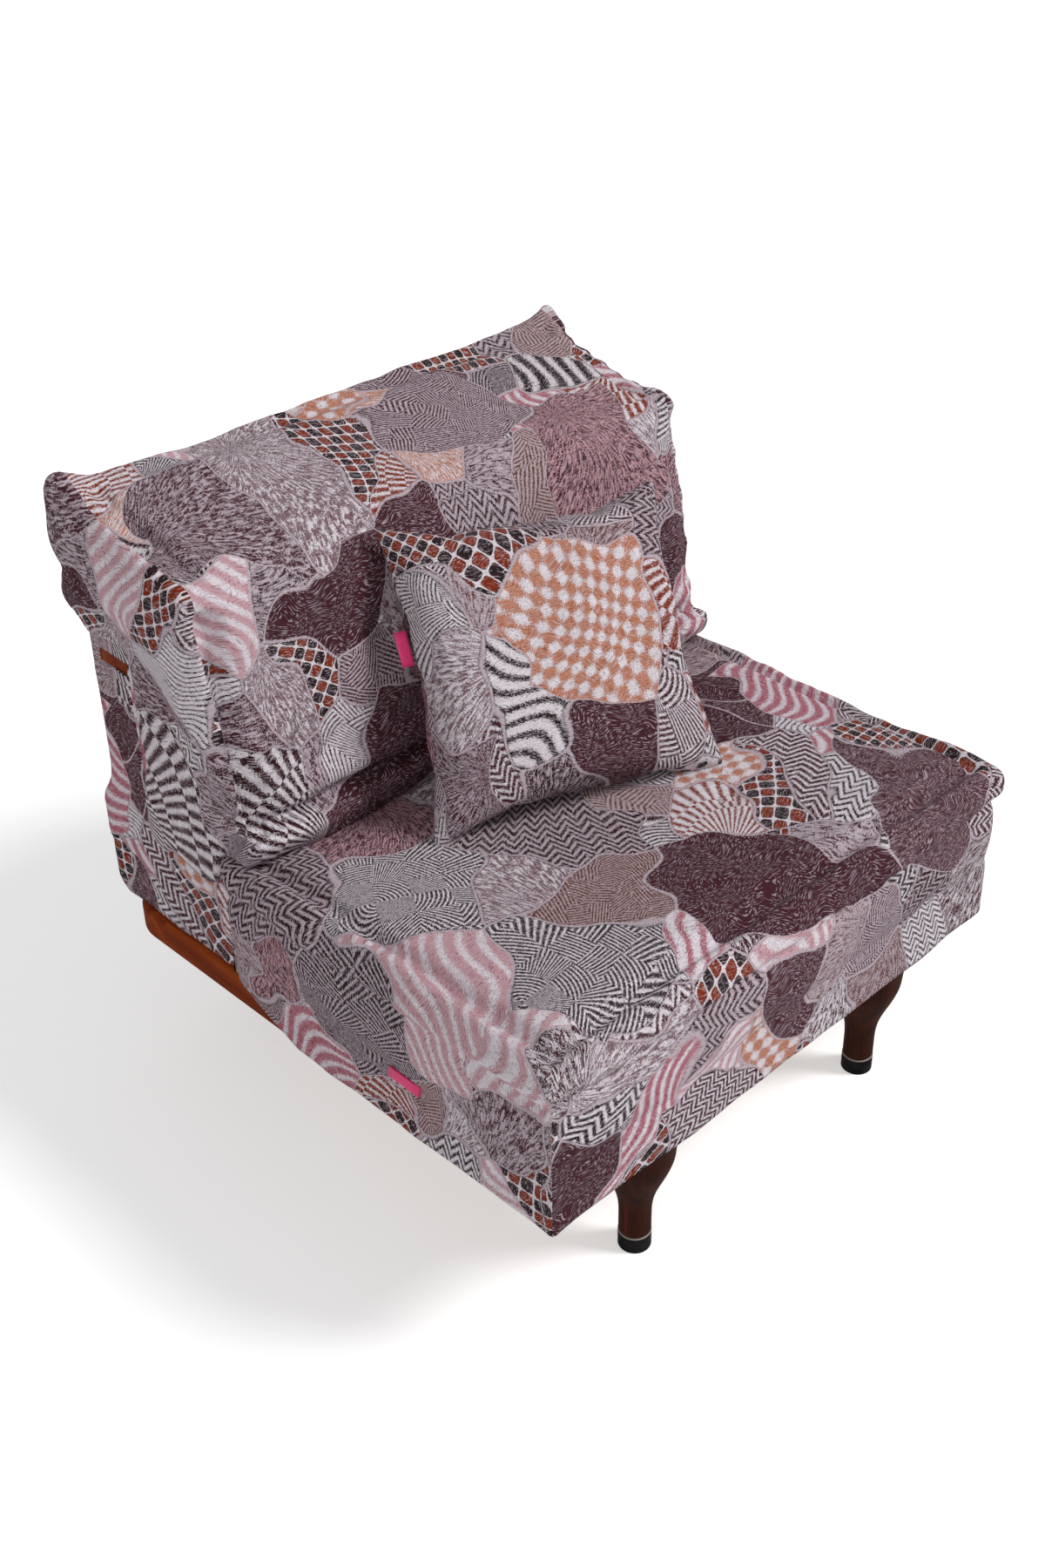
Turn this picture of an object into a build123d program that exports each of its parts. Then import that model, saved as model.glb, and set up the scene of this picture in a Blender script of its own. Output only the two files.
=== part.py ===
from build123d import *
import os
from math import atan2, cos, radians, sin

os.makedirs("parts", exist_ok=True)

# One armless seating module in millimetres: the floor is Z 0, the front faces -Y, left is -X

# Overall sizes
seat_width = 800.0
seat_depth = 550.0
seat_height = 406.0
overall_depth = 816.0
overall_height = 801.0
leg_height = 185.0

# Clearances between pieces
cut_extra = 1.0
wood_gap = 0.1
soft_gap = 0.5
cloth_gap = 0.5
cover_wall = 2.5

# Base frame of flat rails
base_depth = 785.0
rail_width = 90.0
rail_thickness = 42.0
rail_corner_radius = 60.0
rail_edge_radius = 9.0
rail_under_radius = 4.0
centre_rail_width = 60.0
dowel_radius = 5.0
dowel_length = 60.0
dowel_spacing = 40.0

# Seat box and sprung slats that stand on the base frame
box_height = 37.0
box_inset = 4.0
board_thickness = 22.0
slat_count = 7
slat_width = 53.0
slat_thickness = 10.0
slat_crown = 5.0
slat_end_gap = 3.0
slat_play = 0.3
holder_reach = 30.0
holder_wall = 4.0

# Mattress and its loose cover with the rolled edge
roll_overhang = 8.0
roll_radius = 22.0
roll_angles = (-60, -30, 0, 30, 60, 90, 110)
boxing_swell = 2.0
cover_corner_radius = 18.0
least_corner_radius = 4.0
seat_crown = 5.0
crown_inset_shares = (0.10, 0.25, 0.42)
crown_height_shares = (0.1, 0.7, 1.0)
hem_lift = 3.0
hem_rise_run = 104.0
hem_over_rail = 2.0

# Back frame and its slipcover
back_inset = 15.0
back_depth = 87.0
back_height = 395.0
plinth_height = 123.0
plinth_front_gap = 3.0
slip_corner_radius = 9.0
front_panel_thickness = 4.0
side_board_thickness = 18.0
shelf_thickness = 12.0
kick_board_thickness = 18.0
top_rail_thickness = 17.0
top_rail_width = 60.0
top_rail_setback = 18.0
top_pad_height = 25.0
cross_rail_height = 45.0
cross_rail_thickness = 22.0
cross_rail_rise = 140.0
cleat_width = 34.0
cleat_height = 30.0

# Back cushion
cushion_overhang = 6.0
cushion_foot_depth = 64.0
cushion_front_height = 324.0
cushion_recline = 70.0
cushion_bed_gap = 1.5
cushion_rear_drop = 136.0
cushion_tuck_depth = 42.0
cushion_crown = 16.0
cushion_least_crown = 3.0
cushion_top_dip = 9.0
cushion_edge = 16.0
cushion_end_share = 0.93
cushion_peak_inset = 12.0
cushion_peak_drop = 22.0
cushion_fold = 20.0
cushion_heel = 41.0
cushion_roll_radius = 15.0
core_wrap = 26.0

# Throw pillow
pillow_width = 368.0
pillow_height = 352.0
pillow_thickness = 128.0
pillow_edge_thickness = 10.0
pillow_edge_draw = 9.0
pillow_wrap = 4.0
pillow_turn = -17.4
pillow_lean = 31.0
pillow_x = -21.9
pillow_stand = 180.6
pillow_layer_shares = ((0.0, 1.0), (0.34, 0.90), (0.68, 0.72), (0.90, 0.46), (1.0, 0.22))

# Woven tags sewn into the seams
tag_length = 52.0
tag_height = 14.0
tag_thickness = 1.2
seat_tag_setback = 228.0
pillow_tag_share = 0.66

# Turned legs, their caps and their plates
leg_radius = 19.5
leg_top_radius = 49.0
leg_straight = 50.0
leg_flare_shares = ((0.235, 0.10), (0.38, 0.305), (0.54, 0.595), (0.72, 0.85))
leg_inset = 181.0
leg_top_slope_share = 0.2
leg_groove_depth = 1.2
leg_groove_height = 1.6
cap_radius = 20.0
cap_height = 24.0
cap_wall = 2.2
cap_floor = 4.0
cap_edge_radius = 1.0
plate_size = 64.0
plate_thickness = 3.0
plate_corner_radius = 6.0
plate_screw_spacing = 46.0

# Fasteners
screw_radius = 2.0
screw_head_radius = 4.0
plate_screw_length = 24.0
box_screw_radius = 2.5
box_screw_head_radius = 5.0
box_screw_length = 62.0
box_screw_count = 4
side_screw_shares = (0.2, 0.5, 0.8)
hanger_radius = 4.0
hanger_in_leg = 40.0
hanger_in_rail = 22.0
coach_radius = 4.0
coach_head_radius = 9.0
coach_head_height = 3.0
coach_length = 60.0

# Linking hardware under the side rails
link_pin_inset = 27.0
link_pin_radius = 4.0
link_pin_head_radius = 7.0
link_head_height = 2.5
link_plate_length = 70.0
link_plate_width = 30.0
link_plate_thickness = 3.0
link_bar_width = 20.0
link_bar_thickness = 4.0
link_running_gap = 0.08
link_end_gap = 0.5
link_notch_gap = 0.4
link_drop = 5.0
insert_radius = 6.0
insert_bore_radius = 4.0
insert_length = 20.0
insert_spacing = 64.0
insert_setback = 150.0

# Levels and planes that the sizes above fix
front_y = -overall_depth / 2
rear_y = overall_depth / 2
skirt_front_y = front_y + roll_overhang
seat_rear_y = skirt_front_y + seat_depth
wood_inset = cover_wall + cloth_gap
base_half = seat_width / 2 - wood_inset
base_front_y = skirt_front_y + wood_inset
base_rear_y = base_front_y + base_depth
front_joint_y = base_front_y + rail_width
rear_joint_y = base_rear_y - rail_width
rail_top = leg_height + rail_thickness
rail_mid_z = leg_height + rail_thickness / 2
side_rail_x = base_half - rail_width / 2
box_top = rail_top + box_height
leg_top = leg_height - plate_thickness
leg_spread = base_half - leg_inset
leg_places = [
    (side * leg_spread, y)
    for y in (base_front_y + rail_width / 2, base_rear_y - rail_width / 2)
    for side in (-1, 1)
]


# Wood screw with a countersunk head: its face is at Z 0 and its point faces down
def countersunk_screw(radius, head_radius, length):
    head_height = head_radius - radius
    with BuildPart() as screw:
        with BuildSketch(Plane.XZ):
            with BuildLine():
                Polyline(
                    (0, 0),
                    (head_radius, 0),
                    (radius, -head_height),
                    (radius, -length + radius),
                    (0, -length),
                    close=True,
                )
            make_face()
        revolve(axis=Axis.Z)
    return screw.part


# Dowels across the joints between the end rails and the rails that run front to back
def dowel_rods(radius, length):
    dowel_xs = [
        x + offset
        for x in (-side_rail_x, side_rail_x)
        for offset in (-dowel_spacing / 2, dowel_spacing / 2)
    ]
    centre_xs = [-centre_rail_width / 4, centre_rail_width / 4]
    with BuildPart() as rods:
        for joint_y in (front_joint_y, rear_joint_y):
            start = Plane(origin=(0, joint_y - length / 2, rail_mid_z), x_dir=(1, 0, 0), z_dir=(0, 1, 0))
            with BuildSketch(start):
                with Locations(*[(x, 0) for x in dowel_xs + centre_xs]):
                    Circle(radius)
            extrude(amount=length)
    return rods.part


# Hanger bolts that run from each leg through its plate into the rail
def hanger_rods(radius, extra):
    with BuildPart() as rods:
        with BuildSketch(Plane.XY.offset(leg_top - hanger_in_leg - extra)):
            with Locations(*leg_places):
                Circle(radius)
        extrude(amount=hanger_in_leg + plate_thickness + hanger_in_rail + 2 * extra)
    return rods.part


# Four screws at each leg plate, driven up into the rail
def plate_screw_set(radius, head_radius, length):
    half = plate_screw_spacing / 2
    screw = countersunk_screw(radius, head_radius, length).rotate(Axis.X, 180)
    places = [
        (x + side * half, y + end * half, leg_top)
        for x, y in leg_places
        for side in (-1, 1)
        for end in (-1, 1)
    ]
    with BuildPart() as screws:
        with Locations(*places):
            add(screw)
    return screws.part


# Long screws down through the seat box into the base rails
box_half = base_half - box_inset
box_side_x = box_half - board_thickness / 2
box_front_y = base_front_y + box_inset
box_rear_y = seat_rear_y - cover_wall - cloth_gap - box_inset
board_run = box_rear_y - box_front_y - 2 * board_thickness
front_screw_pitch = 2 * box_half / box_screw_count
front_screw_x = -box_half + front_screw_pitch / 2
box_screw_places = [
    (side * box_side_x, box_front_y + board_thickness + share * board_run, box_top)
    for side in (-1, 1)
    for share in side_screw_shares
] + [
    (front_screw_x + place * front_screw_pitch, box_front_y + board_thickness / 2, box_top)
    for place in range(box_screw_count)
]


def box_screw_set(radius, head_radius, length):
    screw = countersunk_screw(radius, head_radius, length)
    with BuildPart() as screws:
        with Locations(*box_screw_places):
            add(screw)
    return screws.part


# Coach bolts that hold the back frame's cleats down on the side rails
back_half = seat_width / 2 - back_inset
back_width = 2 * back_half
back_rear_y = base_rear_y + wood_inset - hem_over_rail / 2
back_front_y = back_rear_y - back_depth
plinth_front_y = seat_rear_y + plinth_front_gap
plinth_top = rail_top + plinth_height
back_top = rail_top + back_height
side_board_x = back_half - wood_inset - side_board_thickness
cleat_x = side_board_x - cleat_width / 2
kick_board_rear_y = plinth_front_y + wood_inset + kick_board_thickness
rear_panel_y = back_rear_y - wood_inset - front_panel_thickness
front_panel_y = back_front_y + wood_inset
post_front_y = front_panel_y + front_panel_thickness
coach_places = [
    (side * cleat_x, y, rail_top + cleat_height)
    for side in (-1, 1)
    for y in (kick_board_rear_y + cleat_width, post_front_y - cleat_width)
]


def coach_bolt_set(radius, head_radius, length):
    with BuildPart() as bolts:
        with BuildSketch(Plane.XY.offset(rail_top + cleat_height)):
            with Locations(*[(x, y) for x, y, z in coach_places]):
                Circle(head_radius)
        extrude(amount=coach_head_height)
        with BuildSketch(Plane.XY.offset(rail_top + cleat_height)):
            with Locations(*[(x, y) for x, y, z in coach_places]):
                Circle(radius)
        extrude(amount=-length)
    return bolts.part


# Threaded sleeves under both side rails, for a bolted joining plate
insert_places = [
    (side * side_rail_x, insert_setback + end * insert_spacing / 2)
    for side in (-1, 1)
    for end in (-1, 1)
]

# Screws of the two link plates
link_x = base_half - link_pin_inset
link_screw_y = link_plate_length / 2 - link_plate_width / 3
link_plate_z = leg_height - link_plate_thickness


def link_screw_set(radius, head_radius, length):
    screw = countersunk_screw(radius, head_radius, length).rotate(Axis.X, 180)
    places = [(side * link_x, end * link_screw_y, link_plate_z) for side in (-1, 1) for end in (-1, 1)]
    with BuildPart() as screws:
        with Locations(*places):
            add(screw)
    return screws.part


# Every hole that the base rails carry, in one cutter
with BuildPart() as rail_holes:
    add(dowel_rods(dowel_radius + wood_gap, dowel_length + 2 * cut_extra))
    add(hanger_rods(hanger_radius + wood_gap, cut_extra))
    add(
        plate_screw_set(
            screw_radius + wood_gap,
            screw_head_radius + wood_gap,
            plate_screw_length + cut_extra,
        )
    )
    add(
        box_screw_set(
            box_screw_radius + wood_gap,
            box_screw_head_radius + wood_gap,
            box_screw_length + cut_extra,
        )
    )
    add(coach_bolt_set(coach_radius + wood_gap, coach_head_radius + wood_gap, coach_length + cut_extra))
    add(link_screw_set(screw_radius + wood_gap, screw_head_radius + wood_gap, plate_screw_length + cut_extra))
    with BuildSketch(Plane.XY.offset(leg_height)):
        with Locations(*insert_places):
            Circle(insert_radius + wood_gap)
    extrude(amount=insert_length + cut_extra)

# Front and rear rails of the base, full width with both outer corners rounded
for end_name, outer_y, inward in (("front", base_front_y, 1), ("rear", base_rear_y, -1)):
    with BuildPart() as end_rail:
        with BuildSketch(Plane.XY.offset(leg_height)) as end_rail_plan:
            with Locations((0, outer_y + inward * rail_width / 2)):
                Rectangle(2 * base_half, rail_width)
            fillet(end_rail_plan.vertices().sort_by(Axis.Y)[::inward][:2], rail_corner_radius)
        extrude(amount=rail_thickness)
        top_edges = end_rail.faces().sort_by(Axis.Z)[-1].edges().sort_by(Axis.Y)[::inward][:-1]
        fillet(top_edges, rail_edge_radius)
        under_edges = end_rail.faces().sort_by(Axis.Z)[0].edges().sort_by(Axis.Y)[::inward][:-1]
        fillet(under_edges, rail_under_radius)
        add(rail_holes.part, mode=Mode.SUBTRACT)
    end_rail.part.label = f"base_rail_{end_name}"
    export_step(end_rail.part, f"parts/base_rail_{end_name}.step")

# Side rails of the base, butted and dowelled between the end rails
for side_name, side in (("left", -1), ("right", 1)):
    with BuildPart() as side_rail:
        with BuildSketch(Plane.XY.offset(leg_height)):
            with Locations((side * side_rail_x, (front_joint_y + rear_joint_y) / 2)):
                Rectangle(rail_width, rear_joint_y - front_joint_y)
        extrude(amount=rail_thickness)
        outer_edges = side_rail.edges().filter_by(Axis.Y).sort_by(Axis.X)[::side][-2:].sort_by(Axis.Z)
        fillet(outer_edges[-1], rail_edge_radius)
        under_edges = side_rail.edges().filter_by(Axis.Y).group_by(Axis.Z)[0].sort_by(Axis.X)[::side]
        fillet(under_edges[-1], rail_under_radius)
        add(rail_holes.part, mode=Mode.SUBTRACT)
    side_rail.part.label = f"base_rail_{side_name}"
    export_step(side_rail.part, f"parts/base_rail_{side_name}.step")

# Centre rail, which keeps the long end rails from bowing
with BuildPart() as centre_rail:
    with BuildSketch(Plane.XY.offset(leg_height)):
        with Locations((0, (front_joint_y + rear_joint_y) / 2)):
            Rectangle(centre_rail_width, rear_joint_y - front_joint_y)
    extrude(amount=rail_thickness)
    add(rail_holes.part, mode=Mode.SUBTRACT)
centre_rail.part.label = "base_rail_centre"
export_step(centre_rail.part, "parts/base_rail_centre.step")

# Beech dowels of the base joints
with BuildPart() as rail_dowels:
    add(dowel_rods(dowel_radius, dowel_length))
rail_dowels.part.label = "rail_dowels"
export_step(rail_dowels.part, "parts/rail_dowels.step")

# Threaded inserts, flush with the underside of the side rails
with BuildPart() as joining_inserts:
    with BuildSketch(Plane.XY.offset(leg_height)):
        with Locations(*insert_places):
            Circle(insert_radius)
            Circle(insert_bore_radius, mode=Mode.SUBTRACT)
    extrude(amount=insert_length)
joining_inserts.part.label = "joining_inserts"
export_step(joining_inserts.part, "parts/joining_inserts.step")

# Four turned trumpet legs, each with a spigot that its cap slips over
flare_height = leg_top - leg_straight
flare_radius = leg_top_radius - leg_radius
spigot_radius = cap_radius - cap_wall - wood_gap
groove_top = cap_height + leg_groove_height
for place, (leg_x, leg_y) in zip(("front_left", "front_right", "rear_left", "rear_right"), leg_places):
    leg_axis = Axis((leg_x, leg_y, 0), (0, 0, 1))
    leg_plane = Plane(origin=(leg_x, leg_y, 0), x_dir=(1, 0, 0), z_dir=(0, -1, 0))
    flare_points = [
        (leg_radius + radius_share * flare_radius, leg_straight + height_share * flare_height)
        for height_share, radius_share in leg_flare_shares
    ]
    with BuildPart() as leg:
        with BuildSketch(leg_plane):
            with BuildLine():
                Polyline(
                    (0, cap_floor + wood_gap),
                    (spigot_radius, cap_floor + wood_gap),
                    (spigot_radius, cap_height),
                    (leg_radius - leg_groove_depth, cap_height),
                    (leg_radius - leg_groove_depth, groove_top),
                    (leg_radius, groove_top),
                    (leg_radius, leg_straight),
                )
                Spline(
                    (leg_radius, leg_straight),
                    *flare_points,
                    (leg_top_radius, leg_top),
                    tangents=((0, 1), (leg_top_slope_share, 1)),
                )
                Polyline((leg_top_radius, leg_top), (0, leg_top), (0, cap_floor + wood_gap))
            make_face()
        revolve(axis=leg_axis)
        add(hanger_rods(hanger_radius + wood_gap, cut_extra), mode=Mode.SUBTRACT)
    leg.part.label = f"leg_{place}"
    export_step(leg.part, f"parts/leg_{place}.step")

    with BuildPart() as foot_cap:
        with BuildSketch(Plane.XY):
            with Locations((leg_x, leg_y)):
                Circle(cap_radius)
        extrude(amount=cap_height)
        fillet(foot_cap.edges(), cap_edge_radius)
        with BuildSketch(Plane.XY.offset(cap_floor)):
            with Locations((leg_x, leg_y)):
                Circle(cap_radius - cap_wall)
        extrude(amount=cap_height, mode=Mode.SUBTRACT)
    foot_cap.part.label = f"foot_cap_{place}"
    export_step(foot_cap.part, f"parts/foot_cap_{place}.step")

# Steel plates between the legs and the rails
with BuildPart() as leg_plates:
    with BuildSketch(Plane.XY.offset(leg_top)):
        with Locations(*leg_places):
            RectangleRounded(plate_size, plate_size, plate_corner_radius)
    extrude(amount=plate_thickness)
    add(hanger_rods(hanger_radius + wood_gap, cut_extra), mode=Mode.SUBTRACT)
    add(
        plate_screw_set(screw_radius + wood_gap, screw_head_radius + wood_gap, plate_screw_length),
        mode=Mode.SUBTRACT,
    )
leg_plates.part.label = "leg_plates"
export_step(leg_plates.part, "parts/leg_plates.step")

with BuildPart() as leg_hanger_bolts:
    add(hanger_rods(hanger_radius, 0))
leg_hanger_bolts.part.label = "leg_hanger_bolts"
export_step(leg_hanger_bolts.part, "parts/leg_hanger_bolts.step")

with BuildPart() as leg_plate_screws:
    add(plate_screw_set(screw_radius, screw_head_radius, plate_screw_length))
leg_plate_screws.part.label = "leg_plate_screws"
export_step(leg_plate_screws.part, "parts/leg_plate_screws.step")

# Seat box: four boards on edge, which the slats and the mattress rest on
box_corner_radius = cover_corner_radius - wood_inset - box_inset
with BuildPart() as box_screw_holes:
    add(box_screw_set(box_screw_radius + wood_gap, box_screw_head_radius + wood_gap, box_screw_length))

for end_name, board_y, inward in (
    ("front", box_front_y + board_thickness / 2, 1),
    ("rear", box_rear_y - board_thickness / 2, -1),
):
    with BuildPart() as box_end:
        with BuildSketch(Plane.XY.offset(rail_top)) as board_plan:
            with Locations((0, board_y)):
                Rectangle(2 * box_half, board_thickness)
            fillet(board_plan.vertices().sort_by(Axis.Y)[::inward][:2], box_corner_radius)
        extrude(amount=box_height)
        add(box_screw_holes.part, mode=Mode.SUBTRACT)
    box_end.part.label = f"seat_box_{end_name}"
    export_step(box_end.part, f"parts/seat_box_{end_name}.step")

for side_name, side in (("left", -1), ("right", 1)):
    with BuildPart() as box_side:
        with BuildSketch(Plane.XY.offset(rail_top)):
            with Locations((side * box_side_x, (box_front_y + box_rear_y) / 2)):
                Rectangle(board_thickness, board_run)
        extrude(amount=box_height)
        add(box_screw_holes.part, mode=Mode.SUBTRACT)
    box_side.part.label = f"seat_box_{side_name}"
    export_step(box_side.part, f"parts/seat_box_{side_name}.step")

with BuildPart() as seat_box_screws:
    add(box_screw_set(box_screw_radius, box_screw_head_radius, box_screw_length))
seat_box_screws.part.label = "seat_box_screws"
export_step(seat_box_screws.part, "parts/seat_box_screws.step")

# Crowned beech slats in rubber holders along the two side boards
slat_span = box_half - board_thickness
slat_half = slat_span - slat_end_gap
slat_pitch = board_run / slat_count
first_slat_y = box_front_y + board_thickness + slat_pitch / 2
slat_ys = [first_slat_y + row * slat_pitch for row in range(slat_count)]
slat_low = box_top - slat_crown - slat_thickness - soft_gap
holder_low = slat_low - slat_play - holder_wall
holder_height = slat_thickness + slat_crown + 2 * holder_wall

with BuildPart() as seat_slats:
    for slat_y in slat_ys:
        with BuildSketch(Plane.XZ.offset(-slat_y - slat_width / 2)):
            with BuildLine():
                ThreePointArc((-slat_half, slat_low), (0, slat_low + slat_crown), (slat_half, slat_low))
                Line((slat_half, slat_low), (slat_half, slat_low + slat_thickness))
                ThreePointArc(
                    (slat_half, slat_low + slat_thickness),
                    (0, slat_low + slat_thickness + slat_crown),
                    (-slat_half, slat_low + slat_thickness),
                )
                Line((-slat_half, slat_low + slat_thickness), (-slat_half, slat_low))
            make_face()
        extrude(amount=slat_width)
seat_slats.part.label = "seat_slats"
export_step(seat_slats.part, "parts/seat_slats.step")

with BuildPart() as slat_holders:
    holder_places = [(side * (slat_span - holder_reach / 2), y) for side in (-1, 1) for y in slat_ys]
    with BuildSketch(Plane.XY.offset(holder_low)):
        with Locations(*holder_places):
            Rectangle(holder_reach, slat_width + 2 * holder_wall)
    extrude(amount=min(holder_height, box_top - soft_gap - holder_low))
    with BuildSketch(Plane.XY.offset(slat_low - slat_play)):
        for slat_y in slat_ys:
            with Locations((0, slat_y)):
                Rectangle(2 * (slat_half + wood_gap), slat_width + 2 * slat_play)
    extrude(amount=slat_thickness + slat_crown / 2, mode=Mode.SUBTRACT)
slat_holders.part.label = "slat_holders"
export_step(slat_holders.part, "parts/slat_holders.step")


# One level of the mattress: a rounded rectangle that stands out from the skirt by an overhang
def seat_level(level, overhang, inset):
    half = seat_width / 2 + overhang - inset
    low_y = skirt_front_y - overhang + inset
    high_y = seat_rear_y + min(overhang, 0) - inset
    radius = max(least_corner_radius, cover_corner_radius + overhang - inset)
    with BuildSketch(Plane.XY.offset(level)) as plan:
        with Locations((0, (low_y + high_y) / 2)):
            RectangleRounded(2 * half, high_y - low_y, min(radius, (high_y - low_y) / 3))
    return plan.sketch


# The mattress above its seam: boxing, neck, rolled edge and crowned top, drawn in by an inset
def mattress_form(inset):
    bead = roll_radius - inset
    levels = [
        (box_top, 0),
        ((box_top + seat_height - 2 * roll_radius) / 2, boxing_swell),
    ]
    levels += [
        (
            seat_height - roll_radius + bead * sin(radians(angle)),
            roll_overhang - roll_radius + inset + bead * cos(radians(angle)),
        )
        for angle in roll_angles
    ]
    levels += [
        (seat_height + height_share * seat_crown - inset, -inset_share * seat_depth)
        for inset_share, height_share in zip(crown_inset_shares, crown_height_shares)
    ]
    return loft([seat_level(level, overhang, inset) for level, overhang in levels], ruled=True)


# Foam mattress that lies on the box and the slats
core_foot = box_top + soft_gap
core_inset = cover_wall + cloth_gap
with BuildPart() as seat_core:
    add(mattress_form(core_inset))
    split(bisect_by=Plane.XY.offset(core_foot), keep=Keep.TOP)
seat_core.part.label = "seat_core"
export_step(seat_core.part, "parts/seat_core.step")

# Loose cover: the mattress case with a skirt that hangs over the box and the rails
hem_z = leg_height + hem_lift
rear_hem_z = rail_top + hem_over_rail
hem_turn_y = seat_rear_y - cover_corner_radius
with BuildPart() as seat_cover:
    add(mattress_form(0))
    with BuildSketch(Plane.XY.offset(hem_z)):
        add(seat_level(0, 0, 0))
    extrude(amount=box_top - hem_z)
    add(mattress_form(cover_wall), mode=Mode.SUBTRACT)
    with BuildSketch(Plane.XY.offset(hem_z - cut_extra)):
        add(seat_level(0, 0, cover_wall))
    extrude(amount=box_top - hem_z + 2 * cut_extra, mode=Mode.SUBTRACT)
    with BuildSketch(Plane.YZ):
        with BuildLine():
            Polyline(
                (hem_turn_y - hem_rise_run, hem_z - cut_extra),
                (hem_turn_y - hem_rise_run, hem_z),
                (hem_turn_y, rear_hem_z),
                (seat_rear_y + cut_extra, rear_hem_z),
                (seat_rear_y + cut_extra, hem_z - cut_extra),
                close=True,
            )
        make_face()
    extrude(amount=seat_width, both=True, mode=Mode.SUBTRACT)
seat_cover.part.label = "seat_cover"
export_step(seat_cover.part, "parts/seat_cover.step")

# Woven tag in the left side seam of the seat cover
seat_tag_y = skirt_front_y + seat_tag_setback
with BuildPart() as seat_tag:
    with BuildSketch(Plane.XY.offset(box_top - tag_height)):
        with Locations((-seat_width / 2 - tag_thickness / 2, seat_tag_y)):
            Rectangle(tag_thickness, tag_length)
    extrude(amount=tag_height)
seat_tag.part.label = "seat_tag"
export_step(seat_tag.part, "parts/seat_tag.step")

# Back frame: posts, sleepers and cleats on each side rail
post_rear_y = rear_panel_y
top_rail_top = back_top - cover_wall - cloth_gap - top_pad_height
top_rail_low = top_rail_top - top_rail_thickness
shelf_low = plinth_top - cover_wall - cloth_gap - shelf_thickness
with BuildPart() as coach_holes:
    add(coach_bolt_set(coach_radius + wood_gap, coach_head_radius + wood_gap, coach_length))

for side_name, side in (("left", -1), ("right", 1)):
    board_x = side * (side_board_x + side_board_thickness / 2)
    with BuildPart() as back_post:
        with BuildSketch(Plane.XY.offset(rail_top)):
            with Locations((board_x, (post_front_y + post_rear_y) / 2)):
                Rectangle(side_board_thickness, post_rear_y - post_front_y)
        extrude(amount=top_rail_low - rail_top)
    back_post.part.label = f"back_post_{side_name}"
    export_step(back_post.part, f"parts/back_post_{side_name}.step")

    with BuildPart() as back_sleeper:
        with BuildSketch(Plane.XY.offset(rail_top)):
            with Locations((board_x, (kick_board_rear_y + front_panel_y) / 2)):
                Rectangle(side_board_thickness, front_panel_y - kick_board_rear_y)
        extrude(amount=shelf_low - rail_top)
    back_sleeper.part.label = f"back_sleeper_{side_name}"
    export_step(back_sleeper.part, f"parts/back_sleeper_{side_name}.step")

    with BuildPart() as back_cleat:
        with BuildSketch(Plane.XY.offset(rail_top)):
            with Locations((side * cleat_x, (kick_board_rear_y + front_panel_y) / 2)):
                Rectangle(cleat_width, front_panel_y - kick_board_rear_y)
        extrude(amount=cleat_height)
        add(coach_holes.part, mode=Mode.SUBTRACT)
    back_cleat.part.label = f"back_cleat_{side_name}"
    export_step(back_cleat.part, f"parts/back_cleat_{side_name}.step")

with BuildPart() as back_coach_bolts:
    add(coach_bolt_set(coach_radius, coach_head_radius, coach_length))
back_coach_bolts.part.label = "back_coach_bolts"
export_step(back_coach_bolts.part, "parts/back_coach_bolts.step")

# Flat top rail, whose ends stay bare in two slots of the slipcover
top_rail_y = post_rear_y - top_rail_setback - top_rail_width / 2 + front_panel_thickness
with BuildPart() as back_top_rail:
    with BuildSketch(Plane.XY.offset(top_rail_low)):
        with Locations((0, top_rail_y)):
            Rectangle(2 * back_half, top_rail_width)
    extrude(amount=top_rail_thickness)
back_top_rail.part.label = "back_top_rail"
export_step(back_top_rail.part, "parts/back_top_rail.step")

# Foam strip that softens the top of the back frame
pad_front_y = back_front_y + wood_inset
pad_rear_y = back_rear_y - wood_inset
with BuildPart() as back_top_pad:
    with BuildSketch(Plane.XY.offset(top_rail_top)):
        with Locations((0, (pad_front_y + pad_rear_y) / 2)):
            RectangleRounded(
                2 * (back_half - wood_inset),
                pad_rear_y - pad_front_y,
                slip_corner_radius - cover_wall,
            )
    extrude(amount=top_pad_height)
    fillet(back_top_pad.faces().sort_by(Axis.Z)[-1].edges(), slip_corner_radius - cover_wall)
back_top_pad.part.label = "back_top_pad"
export_step(back_top_pad.part, "parts/back_top_pad.step")

# Cross rails between the posts, at the foot and at mid height
for rail_name, low_z in (("foot", rail_top), ("middle", rail_top + cross_rail_rise)):
    with BuildPart() as cross_rail:
        with BuildSketch(Plane.XY.offset(low_z)):
            with Locations((0, (post_front_y + post_rear_y) / 2)):
                Rectangle(2 * side_board_x, cross_rail_thickness)
        extrude(amount=cross_rail_height)
    cross_rail.part.label = f"back_{rail_name}_rail"
    export_step(cross_rail.part, f"parts/back_{rail_name}_rail.step")

# Thin panels nailed to the front and rear of the posts
board_half = side_board_x + side_board_thickness
panel_half = back_half - slip_corner_radius
for panel_name, panel_y in (("front", front_panel_y), ("rear", rear_panel_y)):
    with BuildPart() as back_panel:
        with BuildSketch(Plane.XY.offset(rail_top)):
            with Locations((0, panel_y + front_panel_thickness / 2)):
                Rectangle(2 * panel_half, front_panel_thickness)
        extrude(amount=top_rail_low - rail_top)
    back_panel.part.label = f"back_panel_{panel_name}"
    export_step(back_panel.part, f"parts/back_panel_{panel_name}.step")

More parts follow.
